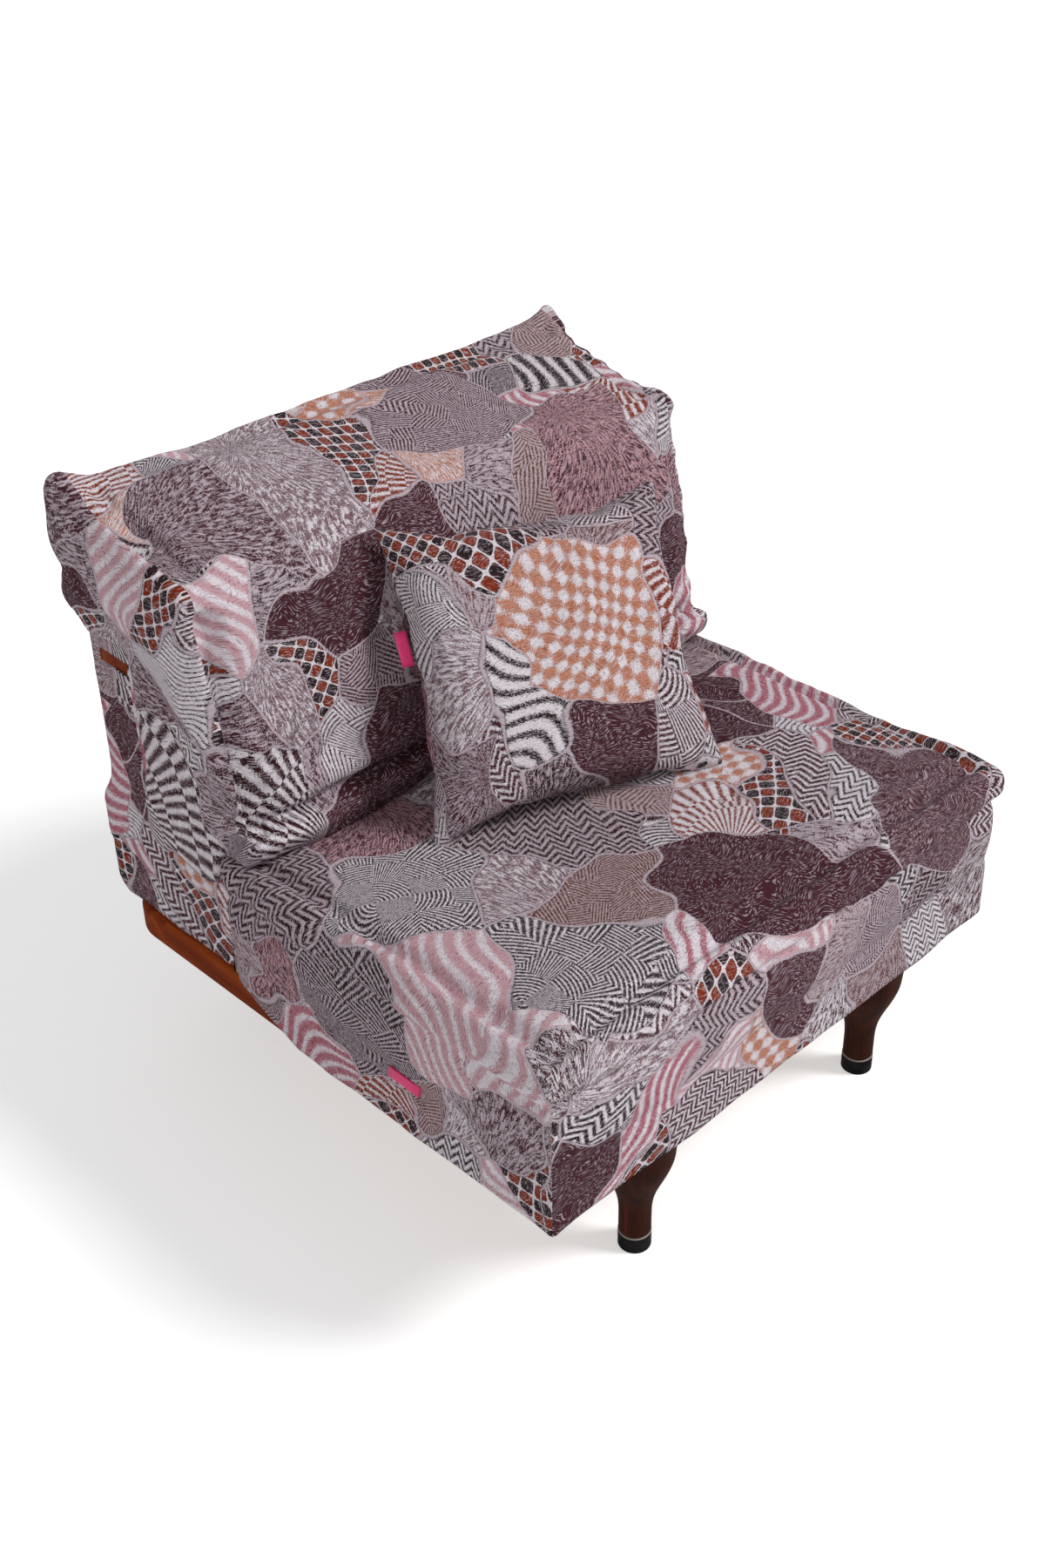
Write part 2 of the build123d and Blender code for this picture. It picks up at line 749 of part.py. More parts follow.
# Shelf and kick board of the low plinth behind the seat
plinth_board_y = plinth_front_y + wood_inset
with BuildPart() as plinth_shelf:
    with BuildSketch(Plane.XY.offset(shelf_low)):
        with Locations((0, (plinth_board_y + front_panel_y) / 2)):
            Rectangle(2 * board_half, front_panel_y - plinth_board_y)
    extrude(amount=shelf_thickness)
plinth_shelf.part.label = "plinth_shelf"
export_step(plinth_shelf.part, "parts/plinth_shelf.step")

with BuildPart() as plinth_kick_board:
    with BuildSketch(Plane.XY.offset(rail_top)):
        with Locations((0, plinth_board_y + kick_board_thickness / 2)):
            Rectangle(2 * board_half, kick_board_thickness)
    extrude(amount=shelf_low - rail_top)
plinth_kick_board.part.label = "plinth_kick_board"
export_step(plinth_kick_board.part, "parts/plinth_kick_board.step")

# Slipcover over the upright of the back, open below and slotted for the top rail
slip_foot = rail_top + hem_over_rail
with BuildPart() as back_slipcover:
    with BuildSketch(Plane.XY.offset(slip_foot)):
        with Locations((0, (back_front_y + back_rear_y) / 2)):
            RectangleRounded(back_width, back_depth, slip_corner_radius)
    extrude(amount=back_top - slip_foot)
    fillet(back_slipcover.faces().sort_by(Axis.Z)[-1].edges(), slip_corner_radius)
    with BuildSketch(Plane.XY.offset(slip_foot - cut_extra)):
        with Locations((0, (back_front_y + back_rear_y) / 2)):
            RectangleRounded(
                back_width - 2 * cover_wall,
                back_depth - 2 * cover_wall,
                slip_corner_radius - cover_wall,
            )
    inner_block = extrude(amount=back_top - cover_wall - slip_foot + cut_extra, mode=Mode.PRIVATE)
    soft_edges = inner_block.faces().sort_by(Axis.Z)[-1].edges()
    add(inner_block.fillet(slip_corner_radius - cover_wall, soft_edges), mode=Mode.SUBTRACT)
    with BuildSketch(Plane.YZ):
        with Locations((top_rail_y, top_rail_low + top_rail_thickness / 2)):
            Rectangle(top_rail_width + 2 * wood_gap, top_rail_thickness + 2 * wood_gap)
    extrude(amount=back_width, both=True, mode=Mode.SUBTRACT)
    with BuildSketch(Plane.XY.offset(slip_foot - cut_extra)):
        with Locations((0, front_panel_y - wood_inset)):
            Rectangle(back_width - 2 * cover_wall, 2 * wood_inset)
    extrude(amount=plinth_top - cover_wall - slip_foot + cut_extra, mode=Mode.SUBTRACT)
back_slipcover.part.label = "back_slipcover"
export_step(back_slipcover.part, "parts/back_slipcover.step")

# Slipcover of the plinth, sewn to the front of the upright
with BuildPart() as plinth_slipcover:
    with BuildSketch(Plane.XY.offset(slip_foot)):
        with Locations((0, (plinth_front_y + back_front_y) / 2)):
            Rectangle(back_width, back_front_y - plinth_front_y)
    extrude(amount=plinth_top - slip_foot)
    fillet(
        plinth_slipcover.edges().filter_by(Axis.X).group_by(Axis.Z)[-1].sort_by(Axis.Y)[0],
        slip_corner_radius,
    )
    with BuildSketch(Plane.XY.offset(slip_foot - cut_extra)):
        with Locations((0, (plinth_front_y + cover_wall + back_front_y + cut_extra) / 2)):
            Rectangle(
                back_width - 2 * cover_wall,
                back_front_y + cut_extra - plinth_front_y - cover_wall,
            )
    extrude(amount=plinth_top - cover_wall - slip_foot + cut_extra, mode=Mode.SUBTRACT)
plinth_slipcover.part.label = "plinth_slipcover"
export_step(plinth_slipcover.part, "parts/plinth_slipcover.step")

# Back cushion: it stands on the seat and the plinth, leans on the frame and hangs over its top
bed_z = seat_height + cushion_bed_gap
shelf_z = plinth_top + soft_gap
frame_z = back_top + soft_gap
frame_y = back_front_y - soft_gap
heel_y = seat_rear_y + soft_gap
foot_y = seat_rear_y - cushion_foot_depth
brow_y = foot_y + cushion_recline
brow_z = bed_z + cushion_front_height
peak_y = rear_y - cushion_peak_inset
centre_y = (foot_y + rear_y) / 2
centre_z = (shelf_z + overall_height) / 2


# One slice of the back cushion across its width
def cushion_slice(x, crown, dip, share):
    outline = [
        (foot_y, bed_z),
        ((foot_y + brow_y) / 2 - crown, (bed_z + brow_z) / 2),
        (brow_y, brow_z),
        (peak_y, overall_height - dip),
        (rear_y, overall_height - dip - cushion_peak_drop),
        (rear_y, overall_height - cushion_rear_drop),
        (rear_y - cushion_tuck_depth, frame_z),
        (frame_y, frame_z),
        (frame_y, (frame_z + shelf_z) / 2),
        (frame_y - cushion_fold, shelf_z + cushion_fold),
        (frame_y - cushion_fold - cushion_heel, shelf_z),
        (heel_y + cushion_fold, shelf_z),
        (heel_y, shelf_z + cushion_fold),
        (heel_y, bed_z),
    ]
    drawn = [(centre_y + share * (y - centre_y), centre_z + share * (z - centre_z)) for y, z in outline]
    with BuildSketch(Plane.YZ.offset(x)) as profile:
        with BuildLine():
            Polyline(*drawn, close=True)
        make_face()
        fillet(profile.vertices().sort_by_distance((*drawn[0], 0))[0], cushion_edge)
        fillet(profile.vertices().sort_by_distance((*drawn[3], 0))[0], cushion_edge / 2)
    return profile.sketch


cushion_half = seat_width / 2 + cushion_overhang
slice_shares = (-1.0, -0.96, -0.55, 0.0, 0.55, 0.96, 1.0)


def cushion_crown_at(share):
    return cushion_least_crown + (cushion_crown - cushion_least_crown) * (1 - share * share)


def cushion_dip_at(share):
    return cushion_top_dip * (1 - abs(share))


# Rolled edge of the back cushion: along the foot, up both sides of the face and over the top
def cushion_roll():
    roll_x = cushion_half - cushion_roll_radius
    rise = atan2(cushion_recline, cushion_front_height)
    inner_foot = (foot_y + cushion_roll_radius, bed_z + cushion_roll_radius)
    inner_brow = (brow_y + cushion_roll_radius * cos(rise), brow_z - cushion_roll_radius)
    inner_peak = (peak_y - cushion_roll_radius, overall_height - 3 / 2 * cushion_roll_radius)
    with BuildPart() as roll:
        with BuildLine():
            route = Polyline(
                (-roll_x, *inner_peak),
                (-roll_x, *inner_brow),
                (-roll_x, *inner_foot),
                (roll_x, *inner_foot),
                (roll_x, *inner_brow),
                (roll_x, *inner_peak),
            )
        with BuildSketch(Plane(origin=route @ 0, z_dir=route % 0)):
            Circle(cushion_roll_radius)
        sweep(transition=Transition.ROUND)
    return roll.part


# Foam core inside the cushion, an upright slab that leans with the face
core_low = bed_z + core_wrap
core_high = brow_z - core_wrap
with BuildPart() as back_cushion_core:
    with BuildSketch(Plane.YZ):
        with BuildLine():
            Polyline(
                (foot_y + core_wrap, core_low),
                (brow_y + core_wrap, core_high),
                (frame_y - core_wrap + cushion_recline / 2, core_high),
                (frame_y - core_wrap, core_low),
                close=True,
            )
        make_face()
    extrude(amount=cushion_half - 2 * core_wrap, both=True)
back_cushion_core.part.label = "back_cushion_core"

with BuildPart() as back_cushion_cover:
    add(
        loft(
            [
                cushion_slice(
                    share * cushion_half,
                    cushion_crown_at(share),
                    cushion_dip_at(share),
                    cushion_end_share if abs(share) == 1.0 else 1.0,
                )
                for share in slice_shares
            ],
            ruled=True,
        )
    )
    add(cushion_roll())
    add(back_cushion_core.part, mode=Mode.SUBTRACT)
export_step(back_cushion_core.part, "parts/back_cushion_core.step")
back_cushion_cover.part.label = "back_cushion_cover"
export_step(back_cushion_cover.part, "parts/back_cushion_cover.step")

# Throw pillow, leaning on the back cushion with its lower edge on the seat
pillow_up = (
    -sin(radians(pillow_turn)) * sin(radians(pillow_lean)),
    cos(radians(pillow_turn)) * sin(radians(pillow_lean)),
    cos(radians(pillow_lean)),
)
pillow_across = (cos(radians(pillow_turn)), sin(radians(pillow_turn)), 0)
pillow_foot_z = seat_height + seat_crown + soft_gap + pillow_edge_thickness / 2 * sin(radians(pillow_lean))
pillow_centre = (
    pillow_x + pillow_up[0] * pillow_height / 2,
    foot_y - pillow_stand + pillow_up[1] * pillow_height / 2,
    pillow_foot_z + pillow_up[2] * pillow_height / 2,
)
pillow_normal = Vector(*pillow_across).cross(Vector(*pillow_up))
pillow_plane = Plane(origin=pillow_centre, x_dir=pillow_across, z_dir=pillow_normal)


# One layer of the pillow: a four-sided outline whose edges are drawn in between the corners
def pillow_layer(offset_from_seam, share, inset):
    half_w = pillow_width / 2 * share - inset
    half_h = pillow_height / 2 * share - inset
    draw = pillow_edge_draw * share
    with BuildSketch(pillow_plane.offset(offset_from_seam)) as layer:
        with BuildLine():
            ThreePointArc((-half_w, -half_h), (0, -half_h + draw), (half_w, -half_h))
            ThreePointArc((half_w, -half_h), (half_w - draw, 0), (half_w, half_h))
            ThreePointArc((half_w, half_h), (0, half_h - draw), (-half_w, half_h))
            ThreePointArc((-half_w, half_h), (-half_w + draw, 0), (-half_w, -half_h))
        make_face()
    return layer.sketch


def pillow_form(inset):
    half_edge = pillow_edge_thickness / 2
    rise = pillow_thickness / 2 - half_edge - inset
    front = [(half_edge + height_share * rise, share) for height_share, share in pillow_layer_shares]
    back = [(-offset, share) for offset, share in reversed(front)]
    return loft([pillow_layer(offset, share, inset) for offset, share in back + front], ruled=True)


with BuildPart() as pillow_filling:
    add(pillow_form(pillow_wrap))
pillow_filling.part.label = "pillow_filling"
export_step(pillow_filling.part, "parts/pillow_filling.step")

with BuildPart() as pillow_cover:
    add(pillow_form(0))
    add(pillow_form(pillow_wrap), mode=Mode.SUBTRACT)
pillow_cover.part.label = "pillow_cover"
export_step(pillow_cover.part, "parts/pillow_cover.step")

# Woven tag in the pillow's left seam
with BuildPart() as pillow_tag:
    tag_low = pillow_height * (pillow_tag_share - 0.5)
    with BuildSketch(pillow_plane.offset(-tag_thickness / 2)):
        with Locations((-pillow_width / 2 + pillow_edge_draw - tag_height / 2, tag_low)):
            Rectangle(tag_height, tag_length)
    extrude(amount=tag_thickness)
    add(pillow_form(0), mode=Mode.SUBTRACT)
pillow_tag.part.label = "pillow_tag"
export_step(pillow_tag.part, "parts/pillow_tag.step")

# Link between neighbouring modules: a plate with a headed pin under the right rail, a plain pin
# under the left one, and a flat hook that swings out from the headed pin to the neighbour's pin
link_pin_low = link_plate_z - link_drop - link_bar_thickness - link_end_gap
link_reach = seat_width + 2 * roll_overhang - 2 * link_x
with BuildPart() as link_screws:
    add(link_screw_set(screw_radius, screw_head_radius, plate_screw_length))
link_screws.part.label = "link_screws"
export_step(link_screws.part, "parts/link_screws.step")

for plate_name, side, has_head in (("link_pivot_plate", 1, True), ("link_catch_plate", -1, False)):
    with BuildPart() as link_plate:
        with BuildSketch(Plane.XY.offset(link_plate_z)):
            with Locations((side * link_x, 0)):
                RectangleRounded(link_plate_width, link_plate_length, link_plate_width / 4)
        extrude(amount=link_plate_thickness)
        with BuildSketch(Plane.XY.offset(link_pin_low)):
            with Locations((side * link_x, 0)):
                Circle(link_pin_radius)
        extrude(amount=link_plate_z - link_pin_low)
        if has_head:
            with BuildSketch(Plane.XY.offset(link_pin_low)):
                with Locations((side * link_x, 0)):
                    Circle(link_pin_head_radius)
            extrude(amount=-link_head_height)
        add(
            link_screw_set(screw_radius + wood_gap, screw_head_radius + wood_gap, plate_screw_length),
            mode=Mode.SUBTRACT,
        )
    link_plate.part.label = plate_name
    export_step(link_plate.part, f"parts/{plate_name}.step")

hook_low = link_pin_low + link_end_gap
with BuildPart() as link_hook:
    with BuildSketch(Plane.XY.offset(hook_low)):
        with Locations((link_x, -link_reach / 2)):
            SlotCenterToCenter(link_reach, link_bar_width, rotation=90)
        with Locations((link_x, 0)):
            Circle(link_pin_radius + link_running_gap, mode=Mode.SUBTRACT)
        with Locations((link_x, -link_reach)):
            Circle(link_pin_radius + link_notch_gap, mode=Mode.SUBTRACT)
        with Locations((link_x + link_bar_width / 2, -link_reach)):
            Rectangle(link_bar_width, 2 * (link_pin_radius + link_notch_gap), mode=Mode.SUBTRACT)
    extrude(amount=link_bar_thickness)
link_hook.part.label = "link_hook"
export_step(link_hook.part, "parts/link_hook.step")
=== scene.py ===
import math

import bmesh
import bpy
import numpy as np
from mathutils import Matrix, Quaternion, Vector, noise


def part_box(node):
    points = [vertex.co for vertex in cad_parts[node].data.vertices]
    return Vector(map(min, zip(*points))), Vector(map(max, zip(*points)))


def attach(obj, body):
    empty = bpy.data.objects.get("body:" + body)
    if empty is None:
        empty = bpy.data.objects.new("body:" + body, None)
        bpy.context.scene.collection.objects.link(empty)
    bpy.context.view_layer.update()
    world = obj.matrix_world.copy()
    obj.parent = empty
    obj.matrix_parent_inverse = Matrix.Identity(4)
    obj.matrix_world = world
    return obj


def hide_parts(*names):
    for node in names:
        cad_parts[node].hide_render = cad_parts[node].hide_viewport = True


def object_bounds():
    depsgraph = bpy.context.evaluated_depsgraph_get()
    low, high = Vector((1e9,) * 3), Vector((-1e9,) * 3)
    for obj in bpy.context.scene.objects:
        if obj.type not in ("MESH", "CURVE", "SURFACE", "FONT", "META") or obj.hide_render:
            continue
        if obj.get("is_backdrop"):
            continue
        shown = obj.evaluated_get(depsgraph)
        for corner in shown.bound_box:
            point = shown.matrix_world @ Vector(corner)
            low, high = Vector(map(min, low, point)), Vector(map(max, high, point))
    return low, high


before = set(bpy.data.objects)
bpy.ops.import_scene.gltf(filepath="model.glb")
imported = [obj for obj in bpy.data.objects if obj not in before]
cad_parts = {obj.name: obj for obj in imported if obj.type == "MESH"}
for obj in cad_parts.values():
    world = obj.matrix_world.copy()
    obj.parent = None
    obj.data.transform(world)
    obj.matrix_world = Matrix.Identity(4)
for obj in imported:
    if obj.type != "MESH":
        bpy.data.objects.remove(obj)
cad_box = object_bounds()

# Camera: it stands where the photograph was taken from, over the front left corner of the seat.
# Its place, heading and lens come from the straight edges of the seat block. The lens is for an
# image of 1200 by 1800 with the sensor's 36 mm along the long side.
camera_place = Vector((-1.3618, -1.3675, 1.6494))
camera_heading = math.radians(43.908)
camera_tilt = math.radians(33.224)
camera_roll = math.radians(-1.177)
camera_data = bpy.data.cameras.new("camera")
camera_data.lens = 42.305
camera_data.sensor_width = 36.0
camera = bpy.data.objects.new("camera", camera_data)
bpy.context.collection.objects.link(camera)
look = Vector(
    (
        math.sin(camera_heading) * math.cos(camera_tilt),
        math.cos(camera_heading) * math.cos(camera_tilt),
        -math.sin(camera_tilt),
    )
)
camera.rotation_mode = "QUATERNION"
camera.rotation_quaternion = look.to_track_quat("-Z", "Y") @ Quaternion((0, 0, 1), camera_roll)
camera.location = camera_place
bpy.context.scene.camera = camera


# Base frame: flat rails of a reddish hardwood, planed, rounded over on the outer edge, stained and
# varnished. Their grain runs along their length, across the sofa in the front and rear rail and in
# the top rail of the back, and rearwards in the sides.
def linear(colour):
    """A colour as it is picked, sRGB hex, as the linear values that sockets hold."""
    shares = [int(colour[place : place + 2], 16) / 255 for place in (1, 3, 5)]
    return (*[s / 12.92 if s < 0.04045 else ((s + 0.055) / 1.055) ** 2.4 for s in shares], 1.0)


def add_node(tree, kind, inputs=None, stops=None, **settings):
    """Adds a node. An input is a value, an output, or a node, which stands for its first output."""
    node = tree.nodes.new("ShaderNode" + kind)
    for name, value in settings.items():
        setattr(node, name, value)
    for name, value in (inputs or {}).items():
        if isinstance(value, bpy.types.Node):
            value = value.outputs[0]
        if isinstance(value, bpy.types.NodeSocket):
            tree.links.new(value, node.inputs[name])
        else:
            node.inputs[name].default_value = value
    if stops:
        elements = node.color_ramp.elements
        while len(elements) < len(stops):
            elements.new(1.0)
        for element, (place, colour) in zip(elements, stops):
            element.position = place
            element.color = linear(colour)
    return node


def start_material(name, **sockets):
    """A material with one shader, whose constant sockets are given by name with _ for a space."""
    material = bpy.data.materials.new(name)
    material.use_nodes = True
    tree = material.node_tree
    shader = tree.nodes["Principled BSDF"]
    for socket, value in sockets.items():
        shader.inputs[socket.replace("_", " ")].default_value = value
    return material, tree, shader


def link_shader(tree, shader, colour, height, strength, depth, dull=None):
    """Links a colour, a bump with its depth in metres and, where there is one, a roughness."""
    tree.links.new(colour.outputs[0], shader.inputs["Base Color"])
    if dull is not None:
        tree.links.new(dull.outputs[0], shader.inputs["Roughness"])
    bump = add_node(tree, "Bump", {"Strength": strength, "Distance": depth, "Height": height})
    tree.links.new(bump.outputs[0], shader.inputs["Normal"])


def finish_with(material, *names):
    """Gives CAD nodes a material."""
    for name in names:
        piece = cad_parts[name]
        piece.data.materials.clear()
        piece.data.materials.append(material)


def stained_hardwood(name, grain_axis, tones, grain_mm=3.0, gloss=0.36):
    """Long narrow pores and slow bands of colour along one axis, under a satin varnish."""
    material, tree, shader = start_material(
        name, Specular_IOR_Level=0.0, Coat_Weight=0.08, Coat_Roughness=0.28
    )
    place = add_node(tree, "TexCoord").outputs["Object"]
    across = 1000.0 / grain_mm
    stretch = [across, across, across]
    stretch[grain_axis] = across / 22.0
    pores = add_node(tree, "Mapping", {"Vector": place, "Scale": stretch})
    bands = add_node(tree, "Mapping", {"Vector": place, "Scale": [share / 9.0 for share in stretch]})
    fine = add_node(tree, "TexNoise", {"Vector": pores, "Scale": 1.0, "Detail": 4.0, "Roughness": 0.6})
    slow = add_node(tree, "TexNoise", {"Vector": bands, "Scale": 1.0, "Detail": 3.0, "Distortion": 0.8})
    both = add_node(tree, "Math", {0: fine, 1: 0.45, 2: 0.0}, operation="MULTIPLY_ADD")
    both = add_node(tree, "Math", {0: slow, 1: 0.65, 2: both}, operation="MULTIPLY_ADD")
    tone = add_node(tree, "ValToRGB", {"Fac": both}, stops=list(zip((0.36, 0.56, 0.76), tones)))
    dull = add_node(tree, "MapRange", {"Value": fine, "To Min": gloss + 0.12, "To Max": gloss - 0.06})
    link_shader(tree, shader, tone, fine, strength=0.12, depth=0.0004, dull=dull)
    return material


# Painted light and shade: the base rails and the top rail are one wood, but the base rails' tones are
# lightened to make up for the shade under the skirt, and the top rail's are darker where more light reaches
# it.
rail_tones_lightened_against_shade = ("#5A2009", "#7D320F", "#9A4A1A")
top_rail_tones_darkened_against_light = ("#541D09", "#6E2B10", "#864019")
for name, grain_axis, tones, rails in (
    ("varnished_hardwood_across", 0, rail_tones_lightened_against_shade, ("base_rail_front", "base_rail_rear")),
    ("varnished_hardwood_rearwards", 1, rail_tones_lightened_against_shade, ("base_rail_left", "base_rail_right")),
    ("varnished_hardwood_top_rail", 0, top_rail_tones_darkened_against_light, ("back_top_rail",)),
):
    finish_with(stained_hardwood(name, grain_axis, tones), *rails)

# Legs: each turned from one piece of mahogany-stained hardwood, grain upright, screwed up against a
# plate under the frame. The stain is darker than the rails' and the varnish rubbed to a low sheen.
leg_tones = ("#1F0F0B", "#35180F", "#4B2114")
leg_names = [f"leg_{end}_{side}" for end in ("front", "rear") for side in ("left", "right")]
finish_with(stained_hardwood("mahogany_stained_leg", 2, leg_tones, grain_mm=2.2, gloss=0.42), *leg_names)


# Foot caps and slat holders: moulded black rubber, pressed on. The mould leaves a fine matt grain,
# and floors and hands rub it a little shinier and paler in patches. The pale band round the lip at
# the top of a cap is a painted highlight, a glint on its edge.
def moulded_rubber(name, colour, worn, painted_glint_height=None, texture_mm=0.8):
    """Black rubber with the fine grain of its mould, and a painted highlight band at a height, in metres.
    """
    painted_glint_width, painted_glint_tone = 0.0016, "#8E8680"
    material, tree, shader = start_material(name, Specular_IOR_Level=0.01)
    place = add_node(tree, "TexCoord").outputs["Object"]
    grain = add_node(tree, "TexNoise", {"Vector": place, "Scale": 1000.0 / texture_mm, "Detail": 2.0})
    rubbed = add_node(tree, "TexNoise", {"Vector": place, "Scale": 45.0, "Detail": 3.0})
    tone = add_node(tree, "ValToRGB", {"Fac": rubbed}, stops=[(0.42, colour), (0.72, worn)])
    # Painted highlight: a pale band at the cap's lip stands in for light glinting on its edge.
    if painted_glint_height is not None:
        height = add_node(tree, "SeparateXYZ", {0: place}).outputs[2]
        painted_glint_band = add_node(tree, "Math", {0: height, 1: painted_glint_height, 2: painted_glint_width}, operation="COMPARE")
        tone = add_node(tree, "MixRGB", {"Fac": painted_glint_band, "Color1": tone, "Color2": linear(painted_glint_tone)})
    dull = add_node(tree, "MapRange", {"Value": rubbed, "To Min": 0.62, "To Max": 0.4})
    link_shader(tree, shader, tone, grain, strength=0.2, depth=0.0003, dull=dull)
    return material


cap_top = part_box("foot_cap_front_left")[1].z
cap_names = [name.replace("leg", "foot_cap") for name in leg_names]
rubber_tones = ("#171617", "#262425")
finish_with(moulded_rubber("black_rubber_cap", *rubber_tones, cap_top), *cap_names)
finish_with(moulded_rubber("black_rubber_holder", *rubber_tones), "slat_holders")


# Steel fittings: leg plates, screws, bolts, sleeves and the link hook, pressed or turned from mild
# steel and zinc plated, which leaves a cool, slightly cloudy shine with fine rubbed scratches.
def zinc_plate(name, bright, cloudy):
    """Zinc plating: metallic, with soft cloudy patches and fine scratches."""
    material, tree, shader = start_material(name, Metallic=1.0)
    place = add_node(tree, "TexCoord").outputs["Object"]
    clouds = add_node(tree, "TexNoise", {"Vector": place, "Scale": 140.0, "Detail": 4.0})
    rubs = add_node(tree, "Mapping", {"Vector": place, "Scale": (300.0, 4000.0, 300.0)})
    scratches = add_node(tree, "TexNoise", {"Vector": rubs, "Scale": 1.0, "Detail": 2.0})
    tone = add_node(tree, "ValToRGB", {"Fac": clouds}, stops=[(0.35, cloudy), (0.7, bright)])
    dull = add_node(tree, "MapRange", {"Value": scratches, "To Min": 0.25, "To Max": 0.48})
    link_shader(tree, shader, tone, scratches, strength=0.06, depth=0.0001, dull=dull)
    return material


finish_with(
    zinc_plate("zinc_plated_steel", "#B9BCC0", "#93979D"),
    "leg_plates",
    "leg_hanger_bolts",
    "leg_plate_screws",
    "seat_box_screws",
    "back_coach_bolts",
    "joining_inserts",
    "link_screws",
    "link_pivot_plate",
    "link_catch_plate",
    "link_hook",
)


# Carcase under the covers: sawn and planed pine boards and thin plywood, left bare, as hidden
# frame wood is. Boards across the sofa and boards that stand upright or run rearwards differ only
# in the direction of their grain.
def bare_softwood(name, grain_axis, pale, ring, ring_mm=7.0):
    """Planed pine: pale early wood with darker ring lines along the board and small pores."""
    material, tree, shader = start_material(name, Roughness=0.62)
    place = add_node(tree, "TexCoord").outputs["Object"]
    stretch = [1000.0 / ring_mm] * 3
    stretch[grain_axis] /= 16.0
    along = add_node(tree, "Mapping", {"Vector": place, "Scale": stretch})
    rings = add_node(tree, "TexNoise", {"Vector": along, "Scale": 1.0, "Detail": 2.0, "Distortion": 0.5})
    lines = add_node(tree, "Math", {0: rings, 1: 9.0}, operation="MULTIPLY")
    lines = add_node(tree, "Math", {0: lines, 1: 1.0}, operation="PINGPONG")
    tone = add_node(tree, "ValToRGB", {"Fac": lines}, stops=[(0.25, pale), (0.95, ring)])
    link_shader(tree, shader, tone, lines, strength=0.1, depth=0.0004)
    return material


pine_tones = ("#D9BE90", "#B48E5C")
finish_with(
    bare_softwood("planed_pine_across", 0, *pine_tones),
    "seat_box_front",
    "seat_box_rear",
    "back_foot_rail",
    "back_middle_rail",
    "plinth_shelf",
    "plinth_kick_board",
    "back_panel_front",
    "back_panel_rear",
)
finish_with(
    bare_softwood("planed_pine_rearwards", 1, *pine_tones),
    "base_rail_centre",
    "seat_box_left",
    "seat_box_right",
    "back_sleeper_left",
    "back_sleeper_right",
    "back_cleat_left",
    "back_cleat_right",
)
finish_with(bare_softwood("planed_pine_upright", 2, *pine_tones), "back_post_left", "back_post_right")

# Slats and dowels: the slats are bent laminated beech under clear lacquer, held in their rubber
# holders, and the dowels are turned beech glued into the rail joints. Both show short pale flecks.
beech_tones = ("#E2C79C", "#C29A68")
finish_with(bare_softwood("lacquered_beech_slats", 0, *beech_tones, ring_mm=4.0), "seat_slats")
finish_with(bare_softwood("turned_beech_dowels", 1, *beech_tones, ring_mm=4.0), "rail_dowels")


# Foam: the mattress block and the strip on the back frame are cut from open-cell upholstery foam,
# cream, with rounded edges and a fine sponge of cells on every cut face. The covers hold them.
def cut_foam(name, colour, shade, cell_mm=1.2):
    """Cut open-cell foam: matt, its small open cells darkened by painted shade."""
    material, tree, shader = start_material(name, Roughness=0.95)
    place = add_node(tree, "TexCoord").outputs["Object"]
    cells = add_node(tree, "TexVoronoi", {"Vector": place, "Scale": 1000.0 / cell_mm}).outputs["Distance"]
    # Painted shade: the colour darkens towards each cell's middle, where the open pore lies in shade.
    tone = add_node(tree, "ValToRGB", {"Fac": cells}, stops=[(0.1, shade), (0.5, colour)])
    link_shader(tree, shader, tone, cells, strength=0.4, depth=0.0006)
    return material


def new_piece(name, bm, material, body):
    """Makes an object of a bmesh, smooth shaded, with its place in its mesh, that rides on a body."""
    mesh = bpy.data.meshes.new(name)
    bm.to_mesh(mesh)
    bm.free()
    mesh.materials.append(material)
    mesh.polygons.foreach_set("use_smooth", [True] * len(mesh.polygons))
    piece = bpy.data.objects.new(name, mesh)
    bpy.context.collection.objects.link(piece)
    if body:
        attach(piece, body)
    return piece


foam = cut_foam("open_cell_foam", "#EADFC0", "#CDBE98")
for name, node, body, give, round_off in (
    ("mattress_foam_block", "seat_core", "seat", 0.018, 0.030),
    ("back_foam_strip", "back_top_pad", "base", 0.004, 0.004),
):
    low, high = (corner.copy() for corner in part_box(node))
    low += Vector((give, give, 0))
    high -= Vector((give, give, give))
    bm = bmesh.new()
    bmesh.ops.create_cube(bm, size=1.0)
    bmesh.ops.scale(bm, vec=high - low, verts=bm.verts)
    bmesh.ops.translate(bm, vec=(low + high) / 2, verts=bm.verts)
    bmesh.ops.bevel(
        bm, geom=bm.edges[:], offset=round_off, segments=5, profile=0.5, affect="EDGES", material=-1
    )
    block = new_piece(name, bm, foam, body)
    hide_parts(node)


